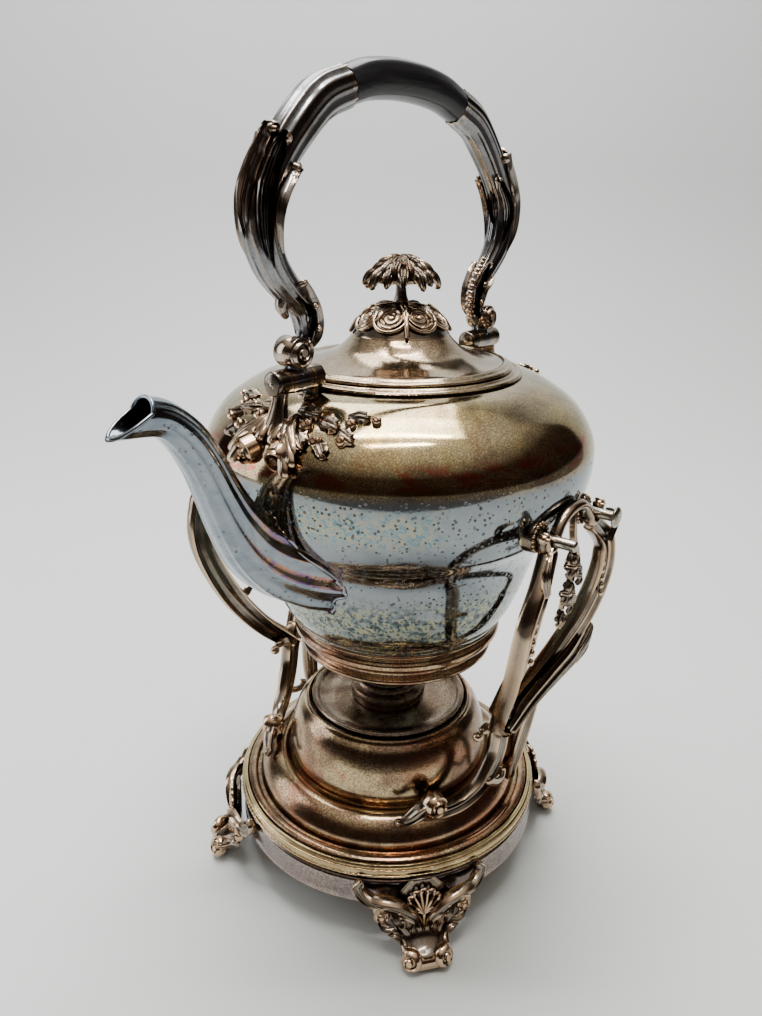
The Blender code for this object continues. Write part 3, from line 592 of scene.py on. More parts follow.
def build_bead_ring():
    """Gilt roll with two milled cords, wrapped round the base above its skirt."""
    shape = bmesh.new()
    roll = profile([(78.8, 41), (78.8, 48)], [(79.3, 48.6), (80.2, 48.5), (80.6, 47.9)],
                   [(80.7, 47.5), (81.4, 46.9), (81.9, 45.6), (82, 44), (81.8, 42.6), (81.2, 41.6)],
                   [(81, 41.2), (80.2, 40.7), (79.2, 40.8)])
    lathe(shape, roll, steps=180, closed=True)
    for radius, height in ((81.6, 46.4), (81.9, 43.2)):
        cord = [(radius + 0.6 * math.cos(math.tau * step / 8), height + 0.6 * math.sin(math.tau * step / 8))
                for step in range(8)]
        lathe(shape, cord, steps=720, waves=180, wave=0.14, closed=True)
    piece("bead_ring", shape, "stand", "base_bead_ring", BEADING)


# ------------------------------------------------------------------ cast feet

def half_foot(shape):
    """The +X half of a foot that faces -Y, without its shield."""
    wing = [(2, -88.2, 17, 1.6, 1.6), (3.4, -89, 23, 1.9, 2.4), (7.6, -89.6, 28.6, 2.3, 3.2),
            (13, -89, 32.6, 2.5, 3.8), (19, -87, 34, 2.5, 4), (24.4, -84, 33.6, 2.3, 3.8),
            (28.4, -81.2, 35.6, 2.1, 3.4), (30.6, -79.6, 39, 1.9, 2.8), (29.4, -79.8, 41.6, 1.6, 2)]
    sweep(shape, wing, strap(), side=(0, 1, 0.15), twist=0.3)
    arch = [(5.4, -88.6, 24, 1, 1.1), (9, -89, 29.6, 1.1, 1.5), (14, -88.4, 32.2, 1.2, 1.6),
            (19, -87.2, 31.4, 1.1, 1.4), (23.4, -85.6, 28.4, 1, 1.1)]
    sweep(shape, arch, oval(10))
    volute(shape, (20.4, -85.8, 25.6), (0.12, -1, 0), (0.2, 0, 1), 4.9, turns=1.5, depth=2.2, thick=1.2)
    flank = [(19.4, -86.4, 20.6, 1.4, 1.7), (17, -87.2, 18, 1.5, 2), (13, -88.8, 14, 1.6, 2),
             (10.6, -91.4, 11.6, 1.8, 1.9), (10, -94.6, 10.4, 2, 1.7), (9.6, -97.6, 10.2, 2, 1.4)]
    sweep(shape, flank, oval(14, 3, 0.1))
    volute(shape, (8.2, -98, 7), (0.5, -0.8, 0.3), (0.3, 0.3, 0.9), 6.6, turns=1.3, depth=2.8, thick=1.9)
    leaves = [((14, -88.4, 19), (18.6, -87.6, 18.4), (22, -86, 21)),
              ((10.6, -88.8, 19), (12.8, -89.2, 24), (16, -88, 28.4)),
              ((6.4, -89.4, 16), (7.8, -90, 22), (8.4, -89, 28)),
              ((9.4, -90.6, 12.6), (14, -89.8, 15.4), (17.4, -88, 15)),
              ((4, -90, 12), (5.2, -90.6, 17), (5.4, -90, 22))]
    for root, bend, tip in leaves:
        leaf(shape, [(*root, 1), (*bend, 2.3), (*tip, 0.4)], (0, -1, 0.2), lobes=3, thick=0.6)
    for height, size in ((29.4, 1.2), (26.2, 1.0), (23.4, 0.9)):
        knob(shape, (12.4 - (29.4 - height) * 0.3, -89.4, height), [size] * 3, 8, 6)


def palmette(shape):
    """Scallop shell of seven flutes on the shield of a foot."""
    flutes = 7
    opening = math.radians(200)
    edge = []
    for step in range(flutes * 6 + 1):
        share = step / (flutes * 6)
        angle = opening * (share - 0.5)
        reach = 7.2 + 1.5 * abs(math.sin(math.pi * flutes * share))
        edge.append((reach * math.sin(angle), -88.4, 31 + 1.12 * reach * math.cos(angle), 1.2, 0.95))
    sweep(shape, edge, oval(8), per_span=2)
    for index in range(flutes + 1):
        angle = opening * (index / flutes - 0.5)
        across, up = math.sin(angle), math.cos(angle)
        rib = [(0, -88.8, 26, 0.9, 0.8), (3.8 * across, -89.4, 29.6 + 3.6 * up, 1, 0.75),
               (7.2 * across, -88.4, 31 + 8 * up, 1, 0.8)]
        sweep(shape, rib, oval(8), per_span=4)


def build_foot(name, node_name, turn):
    """Cast foot: shield with a palmette, wings, side scrolls and a rolled toe."""
    shape = bmesh.new()
    half_foot(shape)
    mirror(shape)
    shield = [(0, -84.4, 43, 6, 1.2), (0, -84.8, 37, 11, 1.5), (0, -85.2, 30, 15.4, 1.7),
              (0, -85.6, 24, 16, 1.8), (0, -86.8, 18, 13, 1.9), (0, -89.2, 12.6, 10.4, 2),
              (0, -93, 9.4, 8.8, 2.2), (0, -97, 7, 7, 3)]
    sweep(shape, shield, oval(28, 14, 0.05), side=(1, 0, 0))
    palmette(shape)
    stalk = [(0, -88.6, 11.6, 1.6, 1.1), (0, -88.8, 18, 1, 1.3), (0, -88.8, 26, 1.1, 1.4)]
    sweep(shape, stalk, oval(10), side=(1, 0, 0))
    drum(shape, (0, -96.6, 4.9), (1, 0, 0), 4.6, 6, oval(24, 12, 0.03))
    piece(name, shape, "stand", node_name, CAST, turn)


# ------------------------------------------------------------------ support castings

RAIL_Y = -97.3
RAIL_HALF = 2.1
ARM_SWEEP = [(35, -98.4, 199), (39.6, -98, 190), (41.6, -97, 180), (41, -94.8, 168),
             (37.5, -91, 154), (32.8, -86, 141), (26.5, -81, 129), (18, -75.4, 117),
             (8, -71.4, 107), (-1, -70.6, 99)]
ARM_HALVES = [(3, 4.2), (3.2, 5), (3.4, 5.8), (3.6, 6.4), (3.6, 6.6), (3.6, 6.6), (3.6, 6.6), (3.6, 6.2),
              (3.6, 5.6), (3.6, 5.2), (3.6, 4.6)]


def turned_row(row, turn):
    """Row of a path with its point turned about the vertical axis."""
    point = Matrix.Rotation(turn, 3, "Z") @ Vector(row[:3])
    return (*point, *row[3:])


def turned_rows(rows, turn):
    return [turned_row(row, turn) for row in rows]


def cradle(shape):
    """Top rail: two open cradles with curled horns and a humped bridge between."""
    drop = SHAFT_RADIUS + 0.3 + RAIL_HALF
    half = SHAFT_RADIUS + 0.5 + RAIL_HALF
    seat = TRUNNION_HEIGHT
    rows = [(-TRUNNION_X - half - 0.6, seat + 1.6, 2.6, RAIL_HALF)]
    for center in (-TRUNNION_X, TRUNNION_X):
        for angle in (180, 225, 270, 315, 360):
            turn = math.radians(angle)
            rows.append((center + half * math.cos(turn), seat + drop * math.sin(turn), 2.6, RAIL_HALF))
        if center < 0:
            rows += [(-11.5, seat + 5, 2.5, 2.2), (-5, seat + 8.2, 2.8, 2.5),
                     (5, seat + 8.2, 2.8, 2.5), (11.5, seat + 5, 2.5, 2.2)]
    rows.append((TRUNNION_X + half + 0.6, seat + 1.6, 2.6, RAIL_HALF))
    path = [(KETTLE_SETBACK + along, RAIL_Y, *rest) for along, *rest in rows]
    sweep(shape, path, oval(14, 2, 0.08), per_span=4)
    for row in (path[0], path[-1]):
        volute(shape, (row[0], row[1], row[2] + 0.6), (0, 1, 0), (0, 0, 1), 2.9, turns=1.1, depth=2.4,
               thick=0.9)


def build_casting(name, node_name, turn, across):
    """Lyre-shaped support: cradles, two bowed arms, two legs, scrolls and leaves."""
    shape = bmesh.new()
    cradle(shape)
    top_height = TRUNNION_HEIGHT - 5
    for end in (-1, 1):
        rows = [(KETTLE_SETBACK + end * TRUNNION_X, RAIL_Y, top_height, *ARM_HALVES[0])]
        rows += [turned_row((end * along, out, height, *halves), turn)
                 for (along, out, height), halves in zip(ARM_SWEEP, ARM_HALVES[1:])]
        sweep(shape, rows, strap(), twist=0.5 * end)
        vein = [(row[0], row[1] - 2.6, row[2], 0.8, 0.9) for row in rows[1:-2]]
        sweep(shape, vein, oval(8), per_span=4)
    front_leg = [(3, -71, 108, 3.4, 4.6), (-2, -70, 98, 3.4, 4.8), (-4, -69.8, 89, 3.4, 4.8),
                 (-7.4, -68.6, 81, 3.4, 4.8), (-14, -66.2, 71.5, 3.4, 4.6), (-23.4, -61.8, 65.6, 3.2, 4),
                 (-33, -56.2, 63.8, 3, 3.4), (-38.6, -52.4, 64.4, 2.4, 2.6)]
    rear_leg = [(21, -77.4, 118, 3, 3.6), (20.4, -75, 104, 3, 4.6), (18.2, -73, 90, 3, 5),
                (16, -71, 76, 3, 4.6), (15.2, -69.4, 66, 2.8, 3.8), (15.2, -68.8, 59, 2.4, 2.4)]
    for leg in (front_leg, rear_leg):
        sweep(shape, turned_rows(leg, turn), strap(), twist=0.25)
    scroll = turned_row((-36, -54.2, 68.4), turn)
    volute(shape, scroll, turned_row((0.5, 1, 0), turn), (-0.3, 0, 1), 7.4, turns=1.9, depth=4.6, thick=1.8,
           hand=-1)
    toe = [(-38, -53, 69, 4.2, 3), (-43, -49.8, 67.4, 4.2, 2.8), (-47.4, -46.8, 64, 3.2, 2.2),
           (-50.4, -44.8, 62.6, 2.4, 1.8), (-52.6, -43.4, 63.6, 2, 1.6)]
    sweep(shape, turned_rows(toe, turn), oval(30, 6, 0.14))
    curl = [(-9, -68.8, 72, 2.6, 2.6), (-2, -69.8, 66.6, 2, 2.2), (4.4, -69.4, 64.8, 1.9, 2),
            (7.4, -69, 67.4, 1.8, 1.6), (5.6, -69, 69.6, 1.5, 1)]
    sweep(shape, turned_rows(curl, turn), oval(12))
    finial = [(-4, -70.6, 101, 3, 3), (-10, -68.8, 105, 2.6, 3), (-15, -67.4, 105.6, 2.4, 2)]
    sweep(shape, turned_rows(finial, turn), oval(14, 7, 0.06))
    knob(shape, turned_row((-18.6, -66.8, 103.8), turn), (3, 2.6, 2.6))
    flare = [(2, -74.6, 100, 2.8, 3.2), (12, -79, 111.6, 3, 4), (23, -84.6, 122.4, 3.2, 5),
             (34, -89.4, 131.4, 3.4, 6.2), (43, -91.6, 138.4, 3, 7.4), (46.4, -92, 142, 1.8, 6.6)]
    sweep(shape, turned_rows(flare, turn), oval(36, 9, 0.12))
    sprays = [((34, -91, 133, 3.4), (41, -93, 139.4, 4.2), (47, -93, 143, 3.2), (50.6, -92, 142, 0.8)),
              ((35, -91, 129, 3), (42, -92.4, 133, 3.6), (47.6, -91.8, 134, 2.4), (50, -91, 132, 0.7)),
              ((-30, -85.6, 130, 3.4), (-24, -84.4, 136, 3.6), (-18.4, -83.4, 140, 2.6),
               (-15, -82.4, 141, 0.7))]
    sprays += [[(end * 34, -101.4, 198, 2.4), (end * 38, -102, 206, 3), (end * 35, -101, 212, 2.2),
                (end * 31, -99.8, 214.6, 0.7)] for end in (1, -1)]
    for spray in sprays:
        leaf(shape, turned_rows(spray, turn), (0, -1, 0.1), lobes=4, thick=0.8, cup=0.3)
    for end in (-1, 1):
        for step in range(5):
            height = 168 + step * 4.2
            knob(shape, turned_row((end * (38.8 - 0.4 * step), -99.2, height), turn), (1.5, 1.2, 1.7), 8, 6)
    piece(name, shape, "stand", node_name, CAST, across=across)


def build_flowers(name, node_name, across):
    """Drop of open flowers and leaves that hangs inside a support."""
    shape = bmesh.new()
    stem = [(2.2, RAIL_Y, 222.6, 1.5, 1.5), (1, -98.6, 212, 1.7, 1.9), (3, -99.6, 202, 1.8, 2.2),
            (1.4, -98, 186, 1.6, 2), (1, -95, 171, 1, 1.2)]
    sweep(shape, stem, oval(10, 5, 0.1))
    blooms = [(-1.4, -100, 200, 5.2), (5.6, -99.6, 193.5, 5), (-1.2, -98.8, 186.5, 5.2),
              (4.2, -97.4, 179, 4.6), (0, -96, 172.6, 3.8)]
    for along, out, height, size in blooms:
        blossom(shape, (along, out, height), (0.1 * along, -1, 0.1), size)
    for along, height in ((-6, 206), (9, 204), (-6.4, 190), (9.4, 184), (-4.6, 176)):
        leaf(shape, [(along * 0.2, -99, height, 0.8), (along * 0.6, -99.6, height - 2, 2.4),
                     (along * 0.9, -98.8, height - 6, 0.6)], (0, -1, 0), lobes=3, thick=0.5)
    piece(name, shape, "stand", node_name, CAST, across=across)


# ------------------------------------------------------------------ kettle

BODY_SIDE = [(57, 271.6), (65.5, 269.4), (73.8, 265), (82.4, 258.8), (88.4, 251), (91.8, 243),
             (92.5, 235), (91.4, 226), (88.6, 216.5), (83.4, 207.5), (76.4, 199.5), (71, 191),
             (67.6, 180), (64.2, 169), (59.8, 158), (54.6, 150)]


def body_radius(height):
    run = smooth(BODY_SIDE, 8)
    for (outer, above), (inner, below) in zip(run, run[1:]):
        if above >= height >= below:
            share = (above - height) / (above - below)
            return outer + (inner - outer) * share
    return BODY_SIDE[0][0] if height > BODY_SIDE[0][1] else BODY_SIDE[-1][0]


def build_body():
    inside = [(0, 150), (51.5, 150.3), (58, 158), (66, 180), (69.4, 191.4), (79, 204.5), (87, 217),
              (90.4, 232), (89.4, 245), (81.2, 257.4), (64.9, 267.6), (49.5, 269.4)]
    outline = inside[:2] + smooth(inside[1:], 4) + [[49.5, 271]] + smooth(BODY_SIDE, 8)
    outline += [(54.2, 148.9), (52, 148.5), (0, 148.5)]
    turned_piece("body", "kettle", "kettle_body", BODY, outline, 224)


def build_rings():
    foot = profile([(52.2, 148.1), (53.2, 147.9), (53.8, 147), (53.2, 146)],
                   [(51.8, 145.4), (51.4, 144.6), (52, 143.8)],
                   [(53, 143.4), (53.8, 142.2), (53.8, 140.4), (53, 139)],
                   [(51.4, 138.4), (48.6, 136.8), (47.6, 134.8), (47.8, 133.4)],
                   [(48.8, 132.8), (49.9, 131.8), (50.1, 130.6), (49.4, 129.6)],
                   [(47, 129.6), (45.6, 132)], [(45.6, 148.1), (50, 148.1)])
    turned_piece("foot_ring", "kettle", "kettle_foot_ring", BASE, foot, 180, closed=True)
    bezel = profile([(50.6, 274), (52, 274.2), (53.2, 274)], [(53.6, 273.3), (54.2, 273), (54.8, 273.2)],
                    [(55.4, 273.6), (56.4, 273.4), (57.2, 272.6)], [(57, 272), (49.7, 271.35)],
                    [(49.7, 273.4), (50.2, 273.8)])
    turned_piece("bezel", "kettle", "lid_bezel", LID, bezel, 180, closed=True)


SPOUT_PATH = [(-57, 198, 23, 26), (-72, 202, 20, 22.5), (-86, 207.5, 14.5, 18), (-98, 216.8, 11, 13.6),
              (-107, 229.5, 9.2, 10.4), (-113.4, 242.5, 8.2, 8.6), (-119, 255, 7.6, 7.8),
              (-126, 266.5, 7.2, 7.4), (-134.5, 274.6, 6.8, 6.8), (-142.5, 278.2, 6.4, 6.2)]
SPOUT_RIBS = [2, 27, 52, 128, 153, 178, 208, 238, 302, 332]


def spout_rings(wall, reach, ribs):
    """Ribbed sections from root to mouth; the lower edge of the mouth runs out into the lip."""
    path = [(along, 0, height, side, tall) for along, height, side, tall in SPOUT_PATH]
    across = Vector((0, 1, 0))
    rings = []
    for t, row, center, along in stations(path, 7):
        upward = across.cross(along)
        upward *= -1 if upward.z < 0 else 1
        fade = ribs * (1 - t) ** 0.35
        section = ridged({angle: 0.13 * fade for angle in SPOUT_RIBS}, 128, 0.14)
        ring = [center + across * (x * (row[3] - wall)) + upward * (y * (row[4] - wall)) for x, y in section]
        if t > 0.86:
            late = (t - 0.86) / 0.14
            for number, point in enumerate(ring):
                low = max(0.0, -(point - center).dot(upward) / row[4] + 0.1)
                ring[number] = point + Vector((-1, 0, -0.10)) * (reach * late ** 2 * low ** 0.9)
        rings.append(ring)
    return rings


def build_spout():
    """Hollow ribbed swan neck with a bead round its mouth and a scalloped bead at its root."""
    shape = bmesh.new()
    outer = spout_rings(0, 11, 1.0)
    inner = spout_rings(1.0, 10.6, 0.0)
    skin(shape, outer + inner[::-1], looped=True)
    ring_tube(shape, [(a + b) / 2 for a, b in zip(outer[-1], inner[-1])], 0.75)
    seam = []
    for line in zip(*outer[::-1]):
        point = next(spot for spot in line if math.hypot(spot.x, spot.y) <= body_radius(spot.z) + 0.4)
        out = Vector((point.x, point.y, 0)).normalized()
        lift = 0.5 + 0.35 * math.cos(math.tau * 10 * len(seam) / len(outer[0]))
        seam.append(point + out * lift)
    ring_tube(shape, seam, 1.1)
    piece("spout_body", shape, "kettle", "spout", SPOUT)


def ring_tube(shape, points, radius, count=8):
    """Round bead that follows a closed loop of points."""
    center = sum(points, Vector()) / len(points)
    rings = []
    for index, point in enumerate(points):
        along = (points[(index + 1) % len(points)] - points[index - 1]).normalized()
        out = square_to(along, point - center)
        other = along.cross(out)
        rings.append([point + (out * math.cos(math.tau * step / count)
                               + other * math.sin(math.tau * step / count)) * radius
                      for step in range(count)])
    skin(shape, rings, looped=True)


def build_trunnion(name, node_name, boss_node, along, side, button):
    """Turned shaft with a plain or a button end, and its beaded boss on the body."""
    girth = 92
    start = body_radius(TRUNNION_HEIGHT) * math.cos(math.asin(TRUNNION_X / girth)) - 2
    if button:
        outline = profile([(0, 106.2), (2.4, 106.1), (3.9, 105.6), (4.7, 104.9), (4.5, 104.2)],
                          [(3, 103.7), (2.3, 103.4)], [(2.3, 103), (2.4, 92), (2.6, start)], [(0, start)])
    else:
        outline = profile([(0, 106), (1.3, 105.9), (2.2, 105.3), (2.4, 104.4)], [(2.4, 92), (2.6, start)],
                          [(0, start)])
    shape = bmesh.new()
    lathe(shape, outline, steps=32)
    turn = Matrix.Rotation(-side * math.pi / 2, 4, "X")
    place = Matrix.Translation((along, 0, TRUNNION_HEIGHT))
    bmesh.ops.transform(shape, matrix=place @ turn, verts=shape.verts)
    piece(name, shape, "kettle", node_name, SHAFT)
    shape = bmesh.new()
    disc = profile([(2.7, 90.4), (4.2, 90.5), (5, 90)], [(5.6, 89.4), (6.8, 89), (7.2, 88), (7.3, 84)],
                   [(2.7, 84)])
    lathe(shape, disc, steps=40, closed=True)
    for step in range(18):
        angle = math.tau * step / 18
        knob(shape, (6 * math.cos(angle), 6 * math.sin(angle), 89.4), (0.95, 0.95, 0.9), 8, 6)
    bmesh.ops.transform(shape, matrix=place @ turn, verts=shape.verts)
    piece(name + "_boss", shape, "kettle", boss_node, CAST)


def on_body(angle, height, lift=0.0):
    """Point on the body's skin; the angle is measured from -X towards +Y in degrees."""
    radius = body_radius(height) + lift
    turn = math.radians(angle)
    return Vector((-radius * math.cos(turn), radius * math.sin(turn), height))


def cap_end(shape, center, axis, radius):
    """Low turned cap on the end of a hinge barrel."""
    outline = profile([(radius, 0), (radius * 0.96, 1.4), (radius * 0.8, 2.2), (radius * 0.5, 2.5),
                       (radius * 0.26, 2.6)], [(radius * 0.22, 2.2), (0, 2.2)])
    first = len(shape.verts)
    lathe(shape, outline, steps=28)
    turn = Vector(axis).to_track_quat("Z", "Y").to_matrix().to_4x4()
    bmesh.ops.transform(shape, matrix=Matrix.Translation(Vector(center)) @ turn, verts=shape.verts[first:])


def barrel(near, far, radius, swell=0.0):
    """Rows of a round rod on the hinge line, between distances from the hinge's middle."""
    return [(along - HINGE_X, 0, HINGE_HEIGHT, half, half)
            for along, half in ((near, radius), ((near + far) / 2, radius + swell), (far, radius))]


BODY_MIDDLE = Vector((0, 0, 205))
MOUNT_SPRAY = [(6, 265.8, 0, 7.4), (8, 259.6, -45, 7), (14.4, 264, -12, 7), (15.6, 257.4, -50, 5.6),
               (21, 261.4, -25, 5.6), (23.4, 266.2, 3, 5.6)]
MOUNT_CURLS = [(9.4, 263, 3.2), (14.4, 258.6, 3), (16, 265, 3), (21.6, 259.6, 2.5), (22.8, 264.6, 2.7),
               (30.4, 266, 2.3)]


def curled_leaf(shape, side, angle, height, heading, size):
    """Short acanthus leaf on the body whose tip rolls over into a curl."""
    lean = math.radians(heading)
    reach = math.degrees(1 / body_radius(height))
    rows = []
    for ahead, lift, width in ((-0.45, -0.6, 0.3), (0.1, 0.4, 0.62), (0.55, 0.9, 0.72), (0.95, 1.7, 0.46),
                               (1.1, 0.9, 0.14)):
        spot = on_body(side * (angle + ahead * size * math.cos(lean) * reach),
                       height + ahead * size * math.sin(lean) * 0.75, lift)
        rows.append((*spot, width * size))
    facing = on_body(side * angle, height) - BODY_MIDDLE
    leaf(shape, rows, facing, lobes=3, cut=0.4, thick=0.8, cup=0.3, veins=2, relief=0.35)


def hooded_eye(shape, side):
    """Scroll eye on one side of a mount, under a hood of six ribs."""
    eye = Vector((-88.6, side * 8.4, 252))
    volute(shape, eye, (-0.92, side * 0.3, -0.3), (0, side * 0.4, 1), 6.8, turns=2.1, depth=4.4, thick=1.4,
           hand=side)
    for number in range(6):
        bearing = math.radians(-40 + 34 * number)
        rim = (5.4 + 4.9 * math.sin(bearing), 252 + 7 * math.cos(bearing))
        rib = [(3.4, 265, 1.6, 1.6, 1), ((3.4 + rim[0]) / 2, (265 + rim[1]) / 2 + 0.8, 4, 2.4, 1.4),
               (*rim, 3.8, 2.4, 1.4), (rim[0], rim[1] - 1.2, 1, 1, 0.8)]
        path = [(*on_body(side * angle, height, lift), *halves) for angle, height, lift, *halves in rib]
        sweep(shape, path, oval(10))


def build_mount(name, node_name, across):
    """Cast mount: hinge barrel on a fluted shank over two scroll eyes and curled acanthus."""
    shape = bmesh.new()
    for end in (-1, 1):
        sweep(shape, barrel(end * 8.6 - 2.6, end * 8.6 + 2.6, 5.3, 0.1), oval(28), rounded=False, per_span=2)
    for end in (-1, 1):
        cap_end(shape, (end * 11.2 - HINGE_X, 0, HINGE_HEIGHT), (end, 0, 0), 5.3)
    outer_shank = [(-8.4, 275, 3.8, 2.2), (-9.4, 270, 3.4, 2.4), (-11, 264, 4.6, 3), (-13.4, 258, 6.2, 3.6)]
    inner_shank = [(8.4, 275, 3.8, 2.2), (8, 271, 3.4, 2.4), (6.4, 269, 4.2, 3)]
    for shank in (outer_shank, inner_shank):
        sweep(shape, [(along - HINGE_X, 0, *rest) for along, *rest in shank], oval(28, 7, 0.14))
    for side in (-1, 1):
        hooded_eye(shape, side)
        for angle, height, heading, size in MOUNT_SPRAY:
            curled_leaf(shape, side, angle, height, heading, size)
        for angle, height, size in MOUNT_CURLS:
            spot = on_body(side * angle, height, 1.8)
            volute(shape, spot, spot - BODY_MIDDLE, (0, side, 1), size, turns=1.5, depth=1.5,
                   thick=0.8, hand=side)
    piece(name, shape, "kettle", node_name, CAST, across=across)


def build_pin(name, node_name, across):
    """Hinge pin with a low round head at each end."""
    shape = bmesh.new()
    sweep(shape, barrel(-12.6, 12.6, 1.5), oval(16), per_span=2)
    for end in (-1, 1):
        knob(shape, (end * 12.7 - HINGE_X, 0, HINGE_HEIGHT), (0.8, 2.2, 2.2))
    piece(name, shape, "kettle", node_name, SHAFT, across=across)


# ------------------------------------------------------------------ bail handle

ARM_PATH = [(-67.4, 288, 3.4), (-62, 296, 4.4), (-64, 305.6, 5), (-72.6, 313.6, 5.8), (-81, 323.6, 6.8),
            (-85, 337, 7.6), (-82.4, 348.5, 7.4), (-75.4, 359, 7.2), (-66, 369.6, 7.6), (-53, 380.6, 7.8),
            (-38.2, 386.3, 7.6)]
GRIP_PATH = [(-37.8, 386.4, 7.3), (-26, 390, 7.7), (-13, 391.8, 7.9), (0, 392.3, 7.9), (13, 391.8, 7.9),
             (26, 390, 7.7), (37.8, 386.4, 7.3)]
ARM_RIBS = {0: 0.10, 30: 0.08, 60: 0.10, 90: 0.06, 120: 0.10, 150: 0.08, 180: 0.10, 215: 0.08, 245: 0.09,
            270: 0.05, 295: 0.09, 325: 0.08}


def arm_frame(position):
    """Centre, direction along, outward direction and half width at a position on the arm, 0 to 1."""
    run = smooth(ARM_PATH, 20)
    index = min(max(round(position * (len(run) - 1)), 1), len(run) - 2)
    (x0, z0, _), (x1, z1, half), (x2, z2, _) = run[index - 1:index + 2]
    along = Vector((x2 - x0, 0, z2 - z0)).normalized()
    return Vector((x1, 0, z1)), along, Vector((-along.z, 0, along.x)), half


def on_arm(position, angle, lift=0.0):
    """Point on the arm's skin; the angle runs from its outer side round towards +Y in degrees."""
    center, along, outward, half = arm_frame(position)
    turn = math.radians(angle)
    reach = half + lift
    return center + outward * (reach * math.cos(turn)) + Vector((0, 1, 0)) * (reach * 0.86 * math.sin(turn))


def arm_facing(position, angle):
    """Direction that the arm's skin faces at a position and angle."""
    return on_arm(position, angle, 5) - on_arm(position, angle)


def arm_leaf(shape, rows, lobes=4):
    """Leaf that hugs the arm: rows of (position, angle, lift, half width)."""
    path = [(*on_arm(position, angle, lift), width) for position, angle, lift, width in rows]
    leaf(shape, path, arm_facing(*rows[1][:2]), lobes=lobes, thick=0.9, cup=0.35, veins=4, relief=0.6)


ARM_LEAVES = [((0.40, 60, -1.4, 1), (0.47, 64, -0.2, 3), (0.56, 62, 0.4, 4.2), (0.64, 56, 0.8, 4.2),
               (0.71, 50, 1.4, 3), (0.745, 46, 3, 1)),
              ((0.42, 122, -1.4, 1), (0.49, 118, -0.3, 2.6), (0.56, 116, 0.4, 3.6), (0.63, 124, 0.7, 3.4),
               (0.69, 132, 1.2, 2.4), (0.715, 138, 2.2, 0.8)),
              ((0.04, 118, -1, 1), (0.10, 124, 0.2, 2.2), (0.17, 126, 0.5, 2.6), (0.24, 130, 0.8, 2.2),
               (0.29, 138, 1.6, 0.7)),
              ((0.08, 70, -1, 1), (0.14, 70, 0, 2), (0.20, 74, 0.4, 2.2), (0.27, 78, 0.8, 0.7))]
ARM_CURLS = [(0.735, 54, 2.8), (0.705, 128, 2.5), (0.285, 128, 2), (0.12, 100, 1.8), (0.20, 104, 1.8)]


def build_arm(name, node_name, across):
    """C-scroll arm: ribbed socket, leaf cup with curled lips, ribbed bow, volute over the hinge."""
    shape = bmesh.new()
    rows = [(along, 0, height, size * 0.86, size) for along, height, size in ARM_PATH]
    sweep(shape, rows, ridged(ARM_RIBS, 72, 0.13), per_span=7, rounded=False)
    sweep(shape, barrel(-5.5, 5.5, 5.3, 0.1), oval(28), rounded=False, per_span=3)
    neck = [(-HINGE_X, 0, HINGE_HEIGHT + rise, half, half) for rise, half in ((3, 4.6), (6, 4.2), (10, 4.6))]
    sweep(shape, neck, oval(20, 10, 0.05))
    roll = Vector((-HINGE_X - 1, 0, HINGE_HEIGHT + 11.4))
    drum(shape, roll, (0, 1, 0), 6.2, 5)
    for side in (-1, 1):
        volute(shape, roll + Vector((0, side * 3.2, 0)), (0, side, 0), (1, 0, 0.7), 7.2, turns=2.0, depth=3.2,
               thick=1.5, hand=side)
    beads = 12
    for step in range(beads):
        position = 0.07 + 0.24 * step / (beads - 1)
        size = 1.9 - 0.5 * step / beads
        knob(shape, on_arm(position, 180, -0.4), (size, size * 1.5, size), 10, 6)
    for side in (-1, 1):
        for rows in ARM_LEAVES:
            arm_leaf(shape, [(position, side * angle, lift, width) for position, angle, lift, width in rows])
        for position, angle, size in ARM_CURLS:
            spot = on_arm(position, side * angle, 0.9)
            volute(shape, spot, arm_facing(position, side * angle), arm_frame(position)[1], size, turns=1.3,
                   depth=1.7, thick=0.8, hand=side)
    back = [(0.46, 0, -1.4, 1), (0.53, 0, -0.2, 2.6), (0.60, 0, 0.4, 3.8), (0.67, 0, 0.8, 4),
            (0.72, 0, 1.4, 3.2), (0.75, 0, 3, 1.2)]
    arm_leaf(shape, back, lobes=5)
    volute(shape, on_arm(0.742, 0, 1.4), (0, 1, 0), (0, 0, 1), 2.9, turns=1.2, depth=4.2, thick=1)
    inside = [(0.48, 180, -1.4, 1), (0.54, 180, 0.2, 2.6), (0.60, 180, 0.6, 3), (0.66, 180, 1.4, 0.9)]
    arm_leaf(shape, inside)
    spur = [(*on_arm(0.30, 0, -2), 3, 2.4), (*on_arm(0.285, 0, 1.6), 2.6, 2), (*on_arm(0.262, 0, 3), 2, 1.4)]
    sweep(shape, spur, oval(12, 3, 0.1))
    piece(name, shape, "handle", node_name, GUNMETAL, across=across)


def build_grip():
    shape = bmesh.new()
    rows = [(along, 0, height, size * 0.94, size) for along, height, size in GRIP_PATH]
    ridges = {45: 0.05, 135: 0.05, 225: 0.04, 315: 0.04}
    sweep(shape, rows, ridged(ridges, 72, 0.2), per_span=10, rounded=False)
    piece("grip", shape, "handle", "handle_grip", EBONY)
    for name, end in (("rivet_front", -1), ("rivet_rear", 1)):
        shape = bmesh.new()
        pin = [(end * 40, out, 385.4, 1.1, 1.1) for out in (-6.2, 0, 6.2)]
        sweep(shape, pin, oval(12), side=(1, 0, 0), per_span=1)
        piece(name, shape, "handle", "grip_" + name, SHAFT)


# ------------------------------------------------------------------ lid

